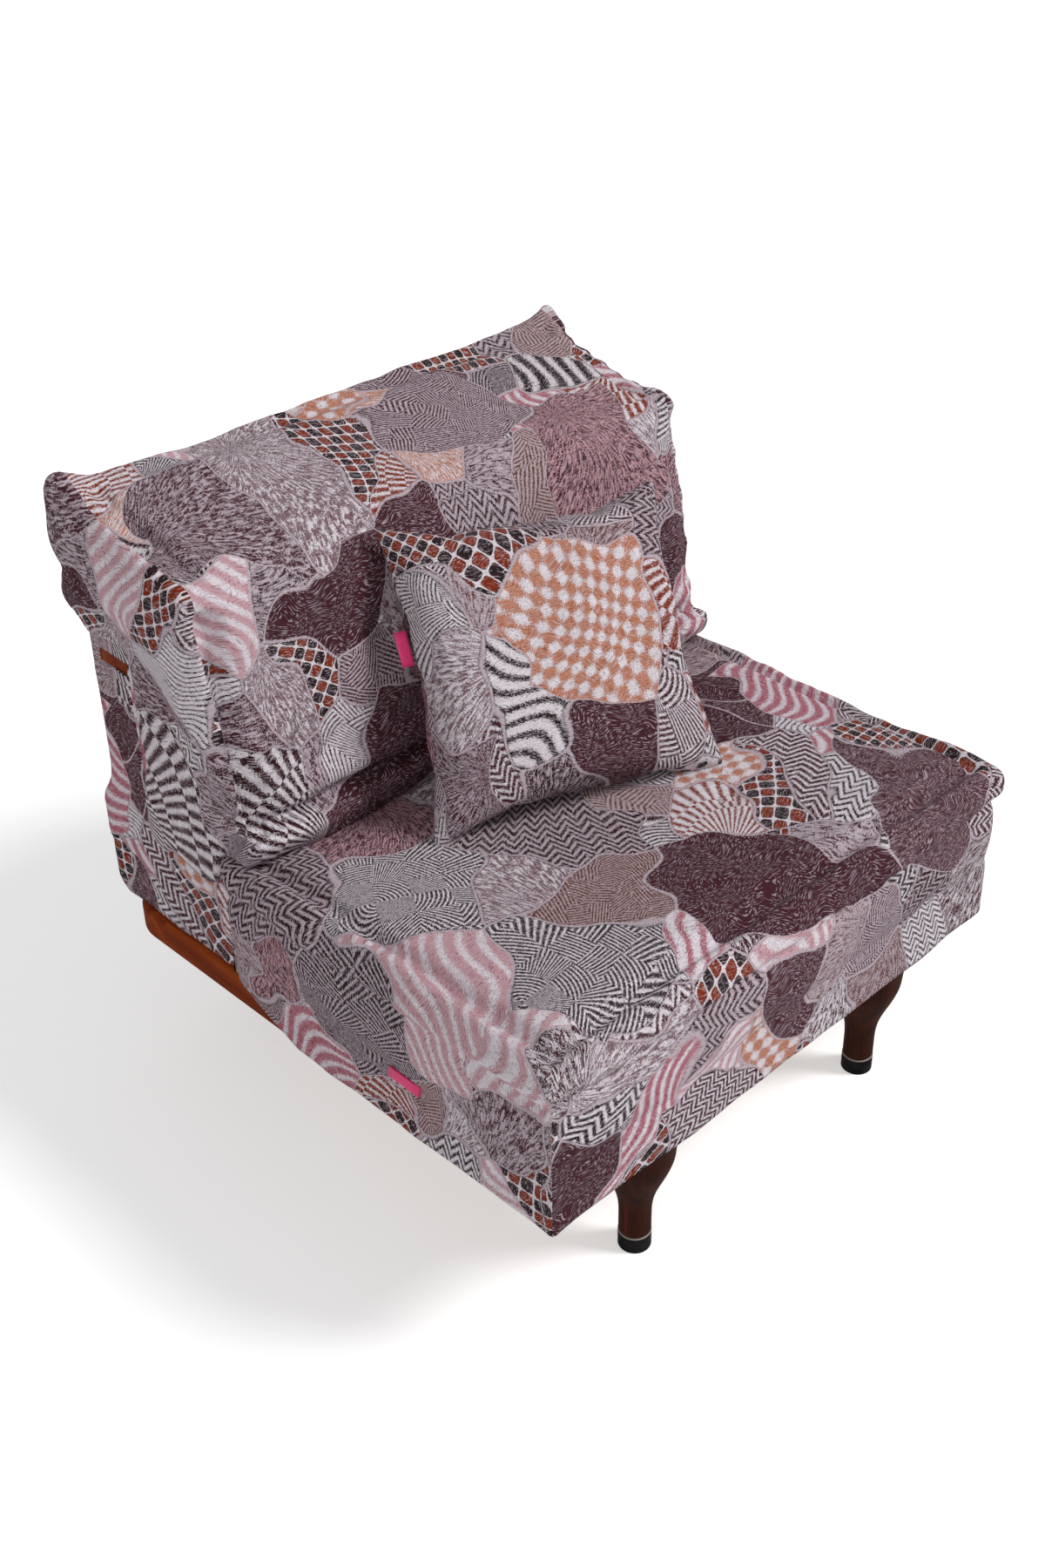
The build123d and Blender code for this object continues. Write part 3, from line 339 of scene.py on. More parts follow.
# Seat cover: a loose case for the mattress with a rolled top edge, boxing, a seam at the height of
# the box and a skirt down to the rail. It is a heavy jacquard in plum, rust, charcoal, lilac, dusty
# pink and off-white, woven as a patchwork of drawn motifs, on a cloth of coarse raised threads.
def patchwork_jacquard(name):
    """Patches of woven motifs in the piece's flat cloth coordinates, the UV map named cloth."""
    material, tree, shader = start_material(
        name,
        Roughness=0.85,
        Specular_IOR_Level=0.04,
        Sheen_Weight=0.02,
        Sheen_Roughness=0.5,
        Sheen_Tint=linear("#E6DFE6"),
    )
    # Sizes of the woven drawing. The threads are really under 1 mm and are drawn coarser, so that
    # the weave still shows from across a room.
    patch_mm, large_patch_mm, large_share = 92.0, 160.0, 0.5
    partition_drift_mm, drawing_drift_mm = 120.0, 62.0
    outline_mm, inner_line_mm = 1.9, 3.0
    thread_mm = 1.9
    # How far apart the lines of each motif lie, and how large its waves, folds and blocks are
    zigzag_mm, zigzag_fold_mm = 11.5, 14.0
    swoosh_mm, swoosh_wave_mm = 19.0, 170.0
    ripple_mm, ripple_wave_mm = 7.4, 64.0
    fan_mm, fan_tier_mm, fan_centre_mm, fan_arc_mm = 15.0, 70.0, 88.0, 100.0
    band_mm, band_block_mm = 5.4, 88.0
    hatch_mm, shard_mm, tile_mm = 4.2, 30.0, 24.0
    plum, aubergine, charcoal, soot = "#43222A", "#30161B", "#352E31", "#221C1E"
    rust, terracotta, pink, rose = "#7C2F14", "#B5775C", "#A8616F", "#BE939B"
    white, lilac, mauve, taupe, sand = "#DAD3D9", "#B7A9B1", "#755C63", "#633F3B", "#B39FA1"
    # Each kind of patch: its motif, ink and ground
    patches = [
        ("scribble", plum, lilac),
        ("zigzag", plum, white),
        ("hatch", taupe, sand),
        ("bands", soot, lilac),
        ("speckle", plum, aubergine),
        ("lattice", terracotta, white),
        ("scribble", aubergine, lilac),
        ("swoosh", pink, white),
        ("hatch", plum, lilac),
        ("fan", aubergine, white),
        ("ripple", soot, white),
        ("tiles", soot, rust),
        ("scribble", plum, rose),
        ("zigzag", aubergine, lilac),
        ("bands", charcoal, white),
        ("scribble", taupe, lilac),
        ("fan", rust, white),
        ("scribble", plum, white),
        ("scribble", terracotta, white),
        ("zigzag", soot, white),
        ("swoosh", rose, white),
        ("bands", plum, white),
        ("speckle", plum, mauve),
        ("scribble", mauve, white),
    ]
    share = 1.0 / len(patches)

    def formula(operation, *values):
        return add_node(tree, "Math", dict(enumerate(values)), operation=operation)

    def vector(operation, *values):
        return add_node(tree, "VectorMath", dict(enumerate(values)), operation=operation)

    def clouds(where, size_mm, detail=0.0, **inputs):
        settings = {"Vector": where, "Scale": 1.0 / size_mm, "Detail": detail, **inputs}
        return add_node(tree, "TexNoise", settings, noise_dimensions="2D")

    def drifted(where, size_mm, drift_mm, detail=0.0):
        away = vector("SUBTRACT", clouds(where, size_mm, detail).outputs["Color"], (0.5, 0.5, 0.5))
        return vector("MULTIPLY_ADD", away, (drift_mm, drift_mm, 0.0), where)

    def wave(value, pitch_mm):
        return formula("SINE", formula("MULTIPLY", value, 2 * math.pi / pitch_mm))

    cloth = add_node(tree, "UVMap", uv_map="cloth")
    flat = add_node(tree, "VectorMath", {0: cloth, "Scale": 1000.0}, operation="SCALE")

    # Outlines of the patches wander as a hand draws them; the drawing inside them wanders less
    partition = drifted(flat, 130.0, partition_drift_mm, 1.0)
    drawing = drifted(flat, 170.0, drawing_drift_mm)
    layers = []
    for shift, size in (((0.0, 0.0, 0.0), patch_mm), ((517.0, 291.0, 0.0), large_patch_mm)):
        where = vector("ADD", partition, shift)
        cells = add_node(tree, "TexVoronoi", {"Vector": where, "Scale": 1 / size}, voronoi_dimensions="2D")
        edges = add_node(
            tree,
            "TexVoronoi",
            {"Vector": where, "Scale": 1 / size},
            voronoi_dimensions="2D",
            feature="DISTANCE_TO_EDGE",
        )
        local = vector("SUBTRACT", vector("ADD", drawing, shift), cells.outputs["Position"])
        layers.append((cells.outputs["Color"], local, formula("MULTIPLY", edges, size)))
    chosen = add_node(tree, "SeparateColor", {0: layers[1][0]})
    large = formula("GREATER_THAN", chosen.outputs[2], large_share)
    picked = [
        add_node(tree, "MixRGB", {"Fac": large, "Color1": low, "Color2": high})
        for low, high in zip(*layers)
    ]
    chance = add_node(tree, "SeparateColor", {0: picked[0]})
    kind = chance.outputs[0]
    turn = formula("MULTIPLY", chance.outputs[1], 2 * math.pi)
    turned = add_node(tree, "VectorRotate", {"Vector": picked[1], "Angle": turn}, rotation_type="Z_AXIS")
    lengths = add_node(tree, "SeparateXYZ", {0: turned})
    p, q = lengths.outputs[0], lengths.outputs[1]

    # How far a point is from the centre that fans, bands and scribbles spread from, and which way
    reach = vector("LENGTH", vector("ADD", turned, (fan_centre_mm, 0.0, 0.0))).outputs["Value"]
    ray = formula("MULTIPLY", formula("ARCTAN2", q, formula("ADD", p, fan_centre_mm)), fan_arc_mm)

    # Loose threads: short strokes that lie along the drawing and fray its edges
    strokes = clouds(vector("MULTIPLY", turned, (1 / 1.2, 1 / 6.0, 0.0)), 1.0, 1.0, Roughness=0.7)
    specks = clouds(flat, 1.3)
    crossed = vector("MULTIPLY", drifted(flat, 40.0, 30.0), (1 / 7.0, 1 / 1.2, 0.0))
    crossed = clouds(crossed, 1.0, 1.0, Roughness=0.7)
    fray = formula("MULTIPLY_ADD", strokes, 0.85, formula("MULTIPLY_ADD", specks, 0.55, -0.70))

    # Motifs, each a wave whose upper half takes the ink
    zigzag = wave(formula("MULTIPLY_ADD", formula("PINGPONG", p, zigzag_fold_mm), 1.15, q), zigzag_mm)
    swoosh = wave(formula("MULTIPLY_ADD", wave(q, swoosh_wave_mm), 16.0, p), swoosh_mm)
    ripple = wave(formula("MULTIPLY_ADD", wave(q, ripple_wave_mm), 6.0, p), ripple_mm)
    ripple = formula("SUBTRACT", ripple, 0.35)
    tier = formula("FRACT", formula("DIVIDE", reach, fan_tier_mm))
    tier = formula("SIGN", formula("SUBTRACT", tier, 0.38))
    fan = formula("MULTIPLY", wave(ray, fan_mm), tier)
    diamond_a = formula("SINE", formula("MULTIPLY", formula("ADD", p, q), math.pi / tile_mm))
    diamond_b = formula("SINE", formula("MULTIPLY", formula("SUBTRACT", p, q), math.pi / tile_mm))
    diamonds = formula("MULTIPLY", formula("MULTIPLY", diamond_a, diamond_b), 2.0)
    lattice = formula("MULTIPLY_ADD", formula("ABSOLUTE", wave(p, 5.0)), 0.35, diamonds)
    blocks = formula("MULTIPLY", wave(p, band_block_mm), wave(q, band_block_mm))
    over = formula("GREATER_THAN", blocks, 0.0)
    bands = {"Fac": over, "Color1": wave(ray, band_mm), "Color2": wave(reach, band_mm)}
    bands = add_node(tree, "MixRGB", bands)
    fur = vector("MULTIPLY", add_node(tree, "CombineXYZ", {0: ray, 1: reach}), (1 / 2.6, 1 / 15.0, 0.0))
    fur = clouds(fur, 1.0, 2.0, Roughness=0.62, Distortion=0.35)
    scribble = formula("MULTIPLY", formula("SUBTRACT", fur, 0.5), 6.5)
    # Hatching comes in shards, each with its lines its own way
    shards = add_node(
        tree, "TexVoronoi", {"Vector": turned, "Scale": 1 / shard_mm}, voronoi_dimensions="2D"
    )
    shard_turn = add_node(tree, "SeparateColor", {0: shards.outputs["Color"]})
    shard_turn = formula("MULTIPLY", shard_turn.outputs[0], 2 * math.pi)
    shard_place = vector("SUBTRACT", turned, shards.outputs["Position"])
    shard_place = add_node(
        tree, "VectorRotate", {"Vector": shard_place, "Angle": shard_turn}, rotation_type="Z_AXIS"
    )
    hatch = wave(add_node(tree, "SeparateXYZ", {0: shard_place}).outputs[0], hatch_mm)
    speckle = formula("MULTIPLY_ADD", crossed, -5.0, 3.2)
    motifs = {
        "zigzag": zigzag,
        "swoosh": swoosh,
        "ripple": ripple,
        "fan": fan,
        "lattice": lattice,
        "tiles": diamonds,
        "bands": bands,
        "scribble": scribble,
        "hatch": hatch,
        "speckle": speckle,
    }
    figure = motifs[patches[0][0]]
    for place, (motif, _, _) in enumerate(patches[1:], 1):
        here = formula("GREATER_THAN", kind, place * share)
        figure = add_node(tree, "MixRGB", {"Fac": here, "Color1": figure, "Color2": motifs[motif]})
    weight = formula("MULTIPLY_ADD", chance.outputs[2], 0.7, -0.35)
    woven = formula("ADD", formula("MULTIPLY_ADD", fray, 3.4, figure), weight)
    ink_share = {"Value": woven, "From Min": -0.35, "From Max": 0.35}
    ink_share = add_node(tree, "MapRange", ink_share, interpolation_type="SMOOTHSTEP")
    inks, grounds = [
        add_node(
            tree,
            "ValToRGB",
            {"Fac": kind},
            stops=[(place * share, row[column]) for place, row in enumerate(patches)],
        )
        for column in (1, 2)
    ]
    inks.color_ramp.interpolation = grounds.color_ramp.interpolation = "CONSTANT"
    colour = add_node(tree, "MixRGB", {"Fac": ink_share, "Color1": grounds, "Color2": inks})

    # White lines between the tiles and round each patch, with a line of ink inside it
    tiled = [row[0] for row in patches].index("tiles")
    tiled = formula("COMPARE", kind, (tiled + 0.5) * share, 0.5 * share)
    grout = formula("MULTIPLY_ADD", fray, 0.5, formula("ABSOLUTE", diamonds))
    grout = formula("MULTIPLY", formula("LESS_THAN", grout, 0.28), tiled)
    colour = add_node(tree, "MixRGB", {"Fac": grout, "Color1": colour, "Color2": linear(white)})
    edge = formula("MULTIPLY_ADD", fray, 4.5, picked[2])
    inner = formula("MULTIPLY", formula("LESS_THAN", edge, inner_line_mm), 0.8)
    outer = formula("LESS_THAN", edge, outline_mm)
    colour = add_node(tree, "MixRGB", {"Fac": inner, "Color1": colour, "Color2": inks})
    colour = add_node(tree, "MixRGB", {"Fac": outer, "Color1": colour, "Color2": linear(lilac)})

    # Flecks: here and there a pale or a dark thread floats over the drawing
    for start, end, most, tone in ((0.57, 0.67, 0.7, lilac), (0.43, 0.33, 0.5, plum)):
        fleck = {"Value": crossed, "From Min": start, "From Max": end, "To Max": most}
        fleck = add_node(tree, "MapRange", fleck)
        colour = add_node(tree, "MixRGB", {"Fac": fleck, "Color1": colour, "Color2": linear(tone)})

    # Raised threads: warp and weft ribs that roughen the cloth, with painted highlight on their tops
    # and painted shade between them that lighten and darken its colour a little
    threads = add_node(tree, "SeparateXYZ", {0: flat})
    warp, weft = wave(threads.outputs[0], thread_mm), wave(threads.outputs[1], thread_mm * 1.25)
    weave = formula("MULTIPLY_ADD", warp, weft, formula("MULTIPLY", fray, 2.0))
    # Painted highlight and shade: the colour is lightened where the threads rise and darkened between them.
    painted_thread_shading = add_node(tree, "MapRange", {"Value": weave, "From Min": -1.0, "To Min": 0.84, "To Max": 1.16})
    painted_thread_shading = add_node(tree, "CombineColor", {0: painted_thread_shading, 1: painted_thread_shading, 2: painted_thread_shading})
    colour = {"Fac": 1.0, "Color1": colour, "Color2": painted_thread_shading}
    colour = add_node(tree, "MixRGB", colour, blend_type="MULTIPLY")
    raised = formula("MULTIPLY_ADD", weave, 0.35, ink_share)
    link_shader(tree, shader, colour, raised, strength=0.45, depth=0.0006)
    return material


jacquard = patchwork_jacquard("patchwork_jacquard")


def points_of(piece):
    """Its vertices' places and normals, as arrays."""
    count = len(piece.data.vertices)
    places, normals = np.empty(count * 3), np.empty(count * 3)
    piece.data.vertices.foreach_get("co", places)
    piece.data.vertices.foreach_get("normal", normals)
    return places.reshape(-1, 3), normals.reshape(-1, 3)


def move_points(piece, places):
    """Puts its vertices at these places."""
    piece.data.vertices.foreach_set("co", places.astype(np.float32).ravel())
    piece.data.update()


def puff(piece, pressure, slack, frames, furthest, bending=0.5, held=None):
    """Simulates a cover as cloth over its filling. Points move `furthest` at most, held ones not."""
    start, _ = points_of(piece)
    cloth = piece.modifiers.new("cloth", "CLOTH")
    settings = cloth.settings
    settings.quality = 5
    settings.mass = 0.3
    settings.tension_stiffness = settings.compression_stiffness = settings.shear_stiffness = 12
    settings.bending_stiffness = bending
    settings.use_pressure = True
    settings.uniform_pressure_force = pressure
    settings.shrink_min = -slack
    settings.effector_weights.gravity = 0
    if held is not None:
        group = piece.vertex_groups.new(name="held")
        group.add([int(index) for index in np.flatnonzero(held)], 1.0, "REPLACE")
        settings.vertex_group_mass = "held"
    for number in range(1, frames + 1):
        bpy.context.scene.frame_set(number)
    settled = piece.evaluated_get(bpy.context.evaluated_depsgraph_get()).data
    places = np.empty(len(settled.vertices) * 3)
    settled.vertices.foreach_get("co", places)
    piece.modifiers.remove(cloth)
    if held is not None:
        piece.vertex_groups.remove(group)
    bpy.context.scene.frame_set(1)
    move = places.reshape(-1, 3) - start
    length = np.linalg.norm(move, axis=1, keepdims=True)
    share = furthest * np.tanh(length / furthest) / np.maximum(length, 1e-9)
    move_points(piece, start + move * share)


def apply_modifiers(piece):
    """Makes the modifiers part of the mesh."""
    done = bpy.data.meshes.new_from_object(piece.evaluated_get(bpy.context.evaluated_depsgraph_get()))
    old = piece.data
    piece.modifiers.clear()
    piece.data = done
    done.name = piece.name
    bpy.data.meshes.remove(old)


def divide_once(piece):
    """One level of subdivision surface, made part of the mesh."""
    finer = piece.modifiers.new("finer", "SUBSURF")
    finer.levels = finer.render_levels = 1
    apply_modifiers(piece)


def crumple(piece, size, depth, seed, outward=0.0):
    """Soft dents and swells of a given size, in metres, along the normals, shifted outward by a share."""
    places, normals = points_of(piece)
    offset = Vector((seed, 2 * seed, 3 * seed))
    swell = [noise.noise(Vector(place) / size + offset) + outward for place in places]
    move_points(piece, places + normals * depth * np.array(swell)[:, None])


def press(piece, line, width, depth, along=None):
    """A fold along a line of points: it goes in by `depth`, or out by it where that is negative."""
    places, normals = points_of(piece)
    nearest = np.full(len(places), np.inf)
    for start, end in zip(np.array(line[:-1]), np.array(line[1:])):
        run = end - start
        share = np.clip(((places - start) @ run) / (run @ run), 0, 1)
        away = np.linalg.norm(places - start - share[:, None] * run, axis=1)
        nearest = np.minimum(nearest, away)
    direction = normals if along is None else np.array(along)
    places -= direction * (depth * np.exp(-((nearest / width) ** 2)))[:, None]
    move_points(piece, places)


def keep_outside(piece, low, high):
    """Cloth can't sink into the wood that it covers: points inside this box go to its nearest side."""
    places, _ = points_of(piece)
    x, y = places[:, 0], places[:, 1]
    depths = np.stack([x - low[0], high[0] - x, y - low[1], high[1] - y], axis=1)
    inside = (depths > 0).all(axis=1) & (places[:, 2] > low[2]) & (places[:, 2] < high[2])
    nearest = depths.argmin(axis=1)
    for side, (axis, value) in enumerate(((0, low[0]), (0, high[0]), (1, low[1]), (1, high[1]))):
        places[inside & (nearest == side), axis] = value
    move_points(piece, places)


mattress_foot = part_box("seat_box_front")[1].z
cover_low, cover_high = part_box("seat_cover")
roll_radius, roll_overhang = 0.022, 0.008
valley_inside, valley_width, valley_depth = 0.015, 0.013, 0.007
seat_crown = 0.008
corner_radius, sewn_corner_radius = 0.020, 0.005
cell = 0.0105
skirt_half = cover_high.x - roll_overhang
skirt_front = cover_low.y + roll_overhang
skirt_rear = cover_high.y
roll_top = cover_high.z - 0.005


def rounded_place(across, along, out):
    """Where a point of the square that runs from -1 to 1 lies on the cover's plan, moved out."""
    half, front, rear = skirt_half + out, skirt_front - out, skirt_rear + min(out, 0.0)
    x = across * half
    y = (front + rear) / 2 + along * (rear - front) / 2
    sewn = across < 0 and along < 0
    radius = max(0.002, (sewn_corner_radius if sewn else corner_radius) + out)
    inner_x = max(-half + radius, min(half - radius, x))
    inner_y = max(front + radius, min(rear - radius, y))
    reach = Vector((x - inner_x, y - inner_y))
    if reach.length < 1e-9:
        return x, y
    widest = max(abs(reach.x), abs(reach.y))
    reach = reach.normalized() * widest
    return inner_x + reach.x, inner_y + reach.y


# Down the sides: round the roll, in to its neck, down the boxing, over the seam and down the skirt
cover_levels = []
for step in range(11):
    turn = math.radians(90 - 15 * step)
    out = roll_overhang - roll_radius + roll_radius * math.cos(turn)
    cover_levels.append((out, roll_top - roll_radius + roll_radius * math.sin(turn)))
boxing_rows, skirt_rows = 8, 7
boxing_top, boxing_foot = cover_levels[-1][1] - 0.006, mattress_foot + 0.004
for row in range(boxing_rows):
    down = row / boxing_rows
    swell = 0.003 * math.sin(math.pi * down) - 0.004 * (1 - down) ** 3
    cover_levels.append((swell, boxing_top + (boxing_foot - boxing_top) * down))
seam_in, seam_out, seam_rise, seam_drop = -0.0004, 0.0008, 0.002, 0.003
cover_levels += [
    (seam_out, mattress_foot + seam_rise),
    (seam_in, mattress_foot),
    (seam_out, mattress_foot - seam_drop),
]
skirt_fall, skirt_flare = cover_low.z - mattress_foot + seam_drop, 0.002
for row in range(1, skirt_rows + 1):
    down = row / skirt_rows
    z = mattress_foot - seam_drop + skirt_fall * down
    cover_levels.append((seam_out + skirt_flare * down, z))

bm = bmesh.new()
bmesh.ops.create_grid(
    bm,
    x_segments=round(2 * skirt_half / cell),
    y_segments=round((skirt_rear - skirt_front) / cell),
    size=1.0,
)
flat_place = bm.verts.layers.float_vector.new("flat_place")
fallen = bm.verts.layers.float.new("fallen")
half_deep = (skirt_rear - skirt_front) / 2
for vert in bm.verts:
    across, along = vert.co.x, vert.co.y
    vert[flat_place] = vert.co.copy()
    vert.co.x, vert.co.y = rounded_place(across, along, cover_levels[0][0])
    inside = min((1 - abs(across)) * skirt_half, (1 - abs(along)) * half_deep)
    crown = seat_crown * math.sin(math.pi / 2 * min(1.0, inside / 0.2))
    valley = valley_depth * math.exp(-(((inside - valley_inside) / valley_width) ** 2))
    vert.co.z = roll_top + crown - valley * min(1.0, inside / 0.006)
border = [edge for edge in bm.edges if edge.is_boundary]
drop = 0.0
for (out_before, z_before), (out, z) in zip(cover_levels, cover_levels[1:]):
    drop += math.hypot(out - out_before, z - z_before)
    made = bmesh.ops.extrude_edge_only(bm, edges=border)["geom"]
    for vert in (item for item in made if isinstance(item, bmesh.types.BMVert)):
        across, along, _ = vert[flat_place]
        vert.co.x, vert.co.y = rounded_place(across, along, out)
        vert.co.z = z
        vert[fallen] = drop
    border = [item for item in made if isinstance(item, bmesh.types.BMEdge) and item.is_boundary]

# The skirt's rear is cut away over the plinth: the hem climbs to the rail's top at the rear corner.
# Along the front the hem bows out a little between its corners.
rear_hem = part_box("base_rail_left")[1].z + 0.002
rise_run, front_bow = 0.104, 0.004
rise_end = skirt_rear - corner_radius
for vert in bm.verts:
    risen = min(1.0, max(0.0, (vert.co.y - rise_end + rise_run) / rise_run))
    hem_here = cover_low.z + (rear_hem - cover_low.z) * risen
    if vert.co.z < mattress_foot:
        down = (mattress_foot - vert.co.z) / (mattress_foot - cover_low.z)
        vert.co.z = mattress_foot - down * (mattress_foot - hem_here)
        if vert.co.y < skirt_front + 0.001:
            vert.co.y -= front_bow * down * math.cos(math.pi / 2 * vert.co.x / skirt_half)

# Its flat cloth coordinates: the top as it lies, and each side folded out from its edge
cloth_map = bm.loops.layers.uv.new("cloth")
bm.normal_update()
for face in bm.faces:
    if all(vert[fallen] == 0.0 for vert in face.verts):
        side = Vector((0, 0))
    elif abs(face.normal.x) > abs(face.normal.y):
        side = Vector((math.copysign(1, face.calc_center_median().x), 0))
    else:
        side = Vector((0, -1 if face.calc_center_median().y < 0 else 1))
    for loop in face.loops:
        across, along, _ = loop.vert[flat_place]
        edge_x, edge_y = rounded_place(across, along, cover_levels[0][0])
        loop[cloth_map].uv = (edge_x + side.x * loop.vert[fallen], edge_y + side.y * loop.vert[fallen])
bmesh.ops.recalc_face_normals(bm, faces=bm.faces)
seat_cover = new_piece("seat_loose_cover", bm, jacquard, "seat")

cover_places, _ = points_of(seat_cover)
skirt = cover_places[:, 2] < mattress_foot + 0.001
puff(seat_cover, pressure=2.0, slack=0.022, frames=14, furthest=0.007, bending=0.3, held=skirt)
divide_once(seat_cover)
crumple(seat_cover, size=0.12, depth=0.004, seed=3.1)
crumple(seat_cover, size=0.045, depth=0.002, seed=7.7)

# The roll is stitched off: a furrow runs round the top inside it, and its neck is drawn in below
furrow_in, furrow_width, furrow_depth = 0.027, 0.0085, 0.011
neck_z, neck_width, neck_depth = roll_top - 0.050, 0.007, 0.004
for inset, z, width, depth in (
    (furrow_in, roll_top, furrow_width, furrow_depth),
    (0.0, neck_z, neck_width, neck_depth),
):
    left, right, near = -skirt_half + inset, skirt_half - inset, skirt_front + inset
    far = skirt_rear + 0.05
    press(seat_cover, [(left, far, z), (left, near, z), (right, near, z), (right, far, z)], width, depth)

# At the front left corner the boxing is sewn to a crisp edge, and the roll above it is pinched
pinch_run = ((0, 0.075, 0.005), (0, 0, 0), (0.065, 0, 0.014))
pinch = [(-skirt_half + x, skirt_front + y, neck_z + up) for x, y, up in pinch_run]
press(seat_cover, pinch, 0.007, 0.006)
corner_seam = [(-skirt_half, skirt_front, z) for z in (neck_z - 0.010, cover_low.z)]
press(seat_cover, corner_seam, 0.007, -0.004, (-0.7, -0.7, 0.0))
seat_button_place = Vector((0.094, -0.209, 0))
button_spot = Vector((seat_button_place.x, seat_button_place.y, roll_top + seat_crown))
for width, depth in ((0.030, 0.007), (0.011, 0.003)):
    press(seat_cover, [button_spot, button_spot + Vector((0.001, 0, 0))], width, depth)
cloth_wall = 0.002
board_low, board_high = (corner.copy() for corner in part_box("seat_box_front"))
board_low.x -= cloth_wall
board_high.x += cloth_wall
board_low.y -= cloth_wall
board_low.z, board_high.y, board_high.z = 0.0, skirt_rear + 0.1, mattress_foot
keep_outside(seat_cover, board_low, board_high)

# The cushion's weight keeps the top flat where it stands, and the rear side upright
cushion_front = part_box("back_cushion_cover")[0].y
places, _ = points_of(seat_cover)
flatness = np.clip((places[:, 1] - cushion_front + 0.05) / 0.06, 0, 1)
highest = cover_high.z + 0.006 - (0.006 + cover_high.z - roll_top) * flatness
places[:, 2] = np.minimum(places[:, 2], highest)
places[:, 1] = np.minimum(places[:, 1], skirt_rear)
move_points(seat_cover, places)
wall = seat_cover.modifiers.new("cloth_thickness", "SOLIDIFY")
wall.thickness = cloth_wall
wall.offset = -1
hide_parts("seat_cover")


# Covered buttons: tin shells wrapped in the same jacquard, pulled down into the seat and into the
# cushion by a cord through the filling. A thin fold of cloth shows round each as a dark ring.
def covered_button(name, cover, spot, facing, body):
    """A domed button on a cover's dimple. It looks along a direction, on the line through a spot."""
    radius, rise, rows, reach = 0.0105, 0.005, 6, 0.04
    away = points_of(cover)[0] - np.array(spot)
    out = away @ np.array(facing)
    beside = np.linalg.norm(away - out[:, None] * np.array(facing), axis=1)
    spot = spot + facing * float(np.median(out[(beside < radius * 0.6) & (abs(out) < reach)]))
    bm = bmesh.new()
    dome = [math.pi / 2 * row / rows for row in range(rows + 1)]
    outline = [bm.verts.new((radius * math.sin(bow), 0, rise * math.cos(bow))) for bow in dome]
    outline.append(bm.verts.new((radius * 0.8, 0, -rise * 0.5)))
    ring = [bm.edges.new(pair) for pair in zip(outline, outline[1:])]
    bmesh.ops.spin(bm, geom=outline + ring, axis=(0, 0, 1), steps=24, angle=2 * math.pi, use_merge=True)
    bmesh.ops.remove_doubles(bm, verts=bm.verts, dist=1e-5)
    bmesh.ops.recalc_face_normals(bm, faces=bm.faces)
    cloth_map = bm.loops.layers.uv.new("cloth")
    for face in bm.faces:
        for loop in face.loops:
            loop[cloth_map].uv = (loop.vert.co.x + spot.x, loop.vert.co.y + spot.y)
    turn = facing.to_track_quat("Z", "Y").to_matrix().to_4x4()
    bm.transform(Matrix.Translation(spot) @ turn)
    button = new_piece(name, bm, jacquard, body)


covered_button("seat_covered_button", seat_cover, button_spot, Vector((0, 0, 1)), "seat")


# Tags: short pieces of hot pink satin ribbon, folded double and caught in a seam, one in the left
# side of the seat cover and one in the left edge of the pillow. Both are left bare.
def satin_ribbon(name, colour, deep):
    """Satin ribbon: close ribs along its width under a soft gloss."""
    material, tree, shader = start_material(name, Roughness=0.42, Sheen_Weight=0.1)
    place = add_node(tree, "TexCoord").outputs["Object"]
    ribs = add_node(tree, "TexNoise", {"Vector": place, "Scale": 900.0, "Detail": 2.0})
    tone = add_node(tree, "ValToRGB", {"Fac": ribs}, stops=[(0.3, deep), (0.6, colour)])
    link_shader(tree, shader, tone, ribs, strength=0.25, depth=0.0003)
    return material


def folded_ribbon(name, node, body, seam, run, reach, lift):
    """A loop of ribbon: its seam's middle, its width there, how far it reaches and how it lifts."""
    thickness, sides = 0.0012, 8
    bm = bmesh.new()
    start = [bm.verts.new(seam + run * (share - 0.5)) for share in (0.0, 0.25, 0.5, 0.75, 1.0)]
    edges = [bm.edges.new(pair) for pair in zip(start, start[1:])]
    # Out along the lower ply, round the fold and back along the upper one
    for step in range(1, 2 * sides + 1):
        turn = math.pi * step / (2 * sides)
        made = bmesh.ops.extrude_edge_only(bm, edges=edges)["geom"]
        verts = [item for item in made if isinstance(item, bmesh.types.BMVert)]
        before = math.pi * (step - 1) / (2 * sides)
        shift = reach * (math.sin(turn) - math.sin(before)) + lift * (math.cos(before) - math.cos(turn)) / 2
        bmesh.ops.translate(bm, vec=shift, verts=verts)
        edges = [item for item in made if isinstance(item, bmesh.types.BMEdge) and item.is_boundary]
        edges = [edge for edge in edges if all(vert in verts for vert in edge.verts)]
    ribbon = new_piece(name, bm, hot_pink_ribbon, body)
    wall = ribbon.modifiers.new("ribbon_thickness", "SOLIDIFY")
    wall.thickness = thickness
    wall.offset = 0
    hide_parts(node)


hot_pink_ribbon = satin_ribbon("hot_pink_satin_ribbon", "#E0246E", "#B81254")
tag_low, tag_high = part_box("seat_tag")
tag_seam = Vector((-skirt_half + 0.001, (tag_low.y + tag_high.y) / 2, mattress_foot + 0.001))
folded_ribbon(
    "seat_ribbon_tag",
    "seat_tag",
    "seat",
    tag_seam,
    Vector((0, tag_high.y - tag_low.y, 0)),
    Vector((-0.004, 0, -0.012)),
    Vector((-0.002, 0, 0.0005)),
)


# Back slipcover: one loose jacquard cover over the upright of the back and the low plinth in front
# of it, open below, with a slot at each side where the bare end of the top rail shows. It hangs
# loose at the rear corners, where two soft puckers stand out above the rail.
def cut_across(bm, axis, value):
    """Cuts every face along the plane that stands square to an axis at a value."""
    place, square = [0.0, 0.0, 0.0], [0.0, 0.0, 0.0]
    place[axis], square[axis] = value, 1.0
    everything = bm.verts[:] + bm.edges[:] + bm.faces[:]
    bmesh.ops.bisect_plane(bm, geom=everything, plane_co=place, plane_no=square)


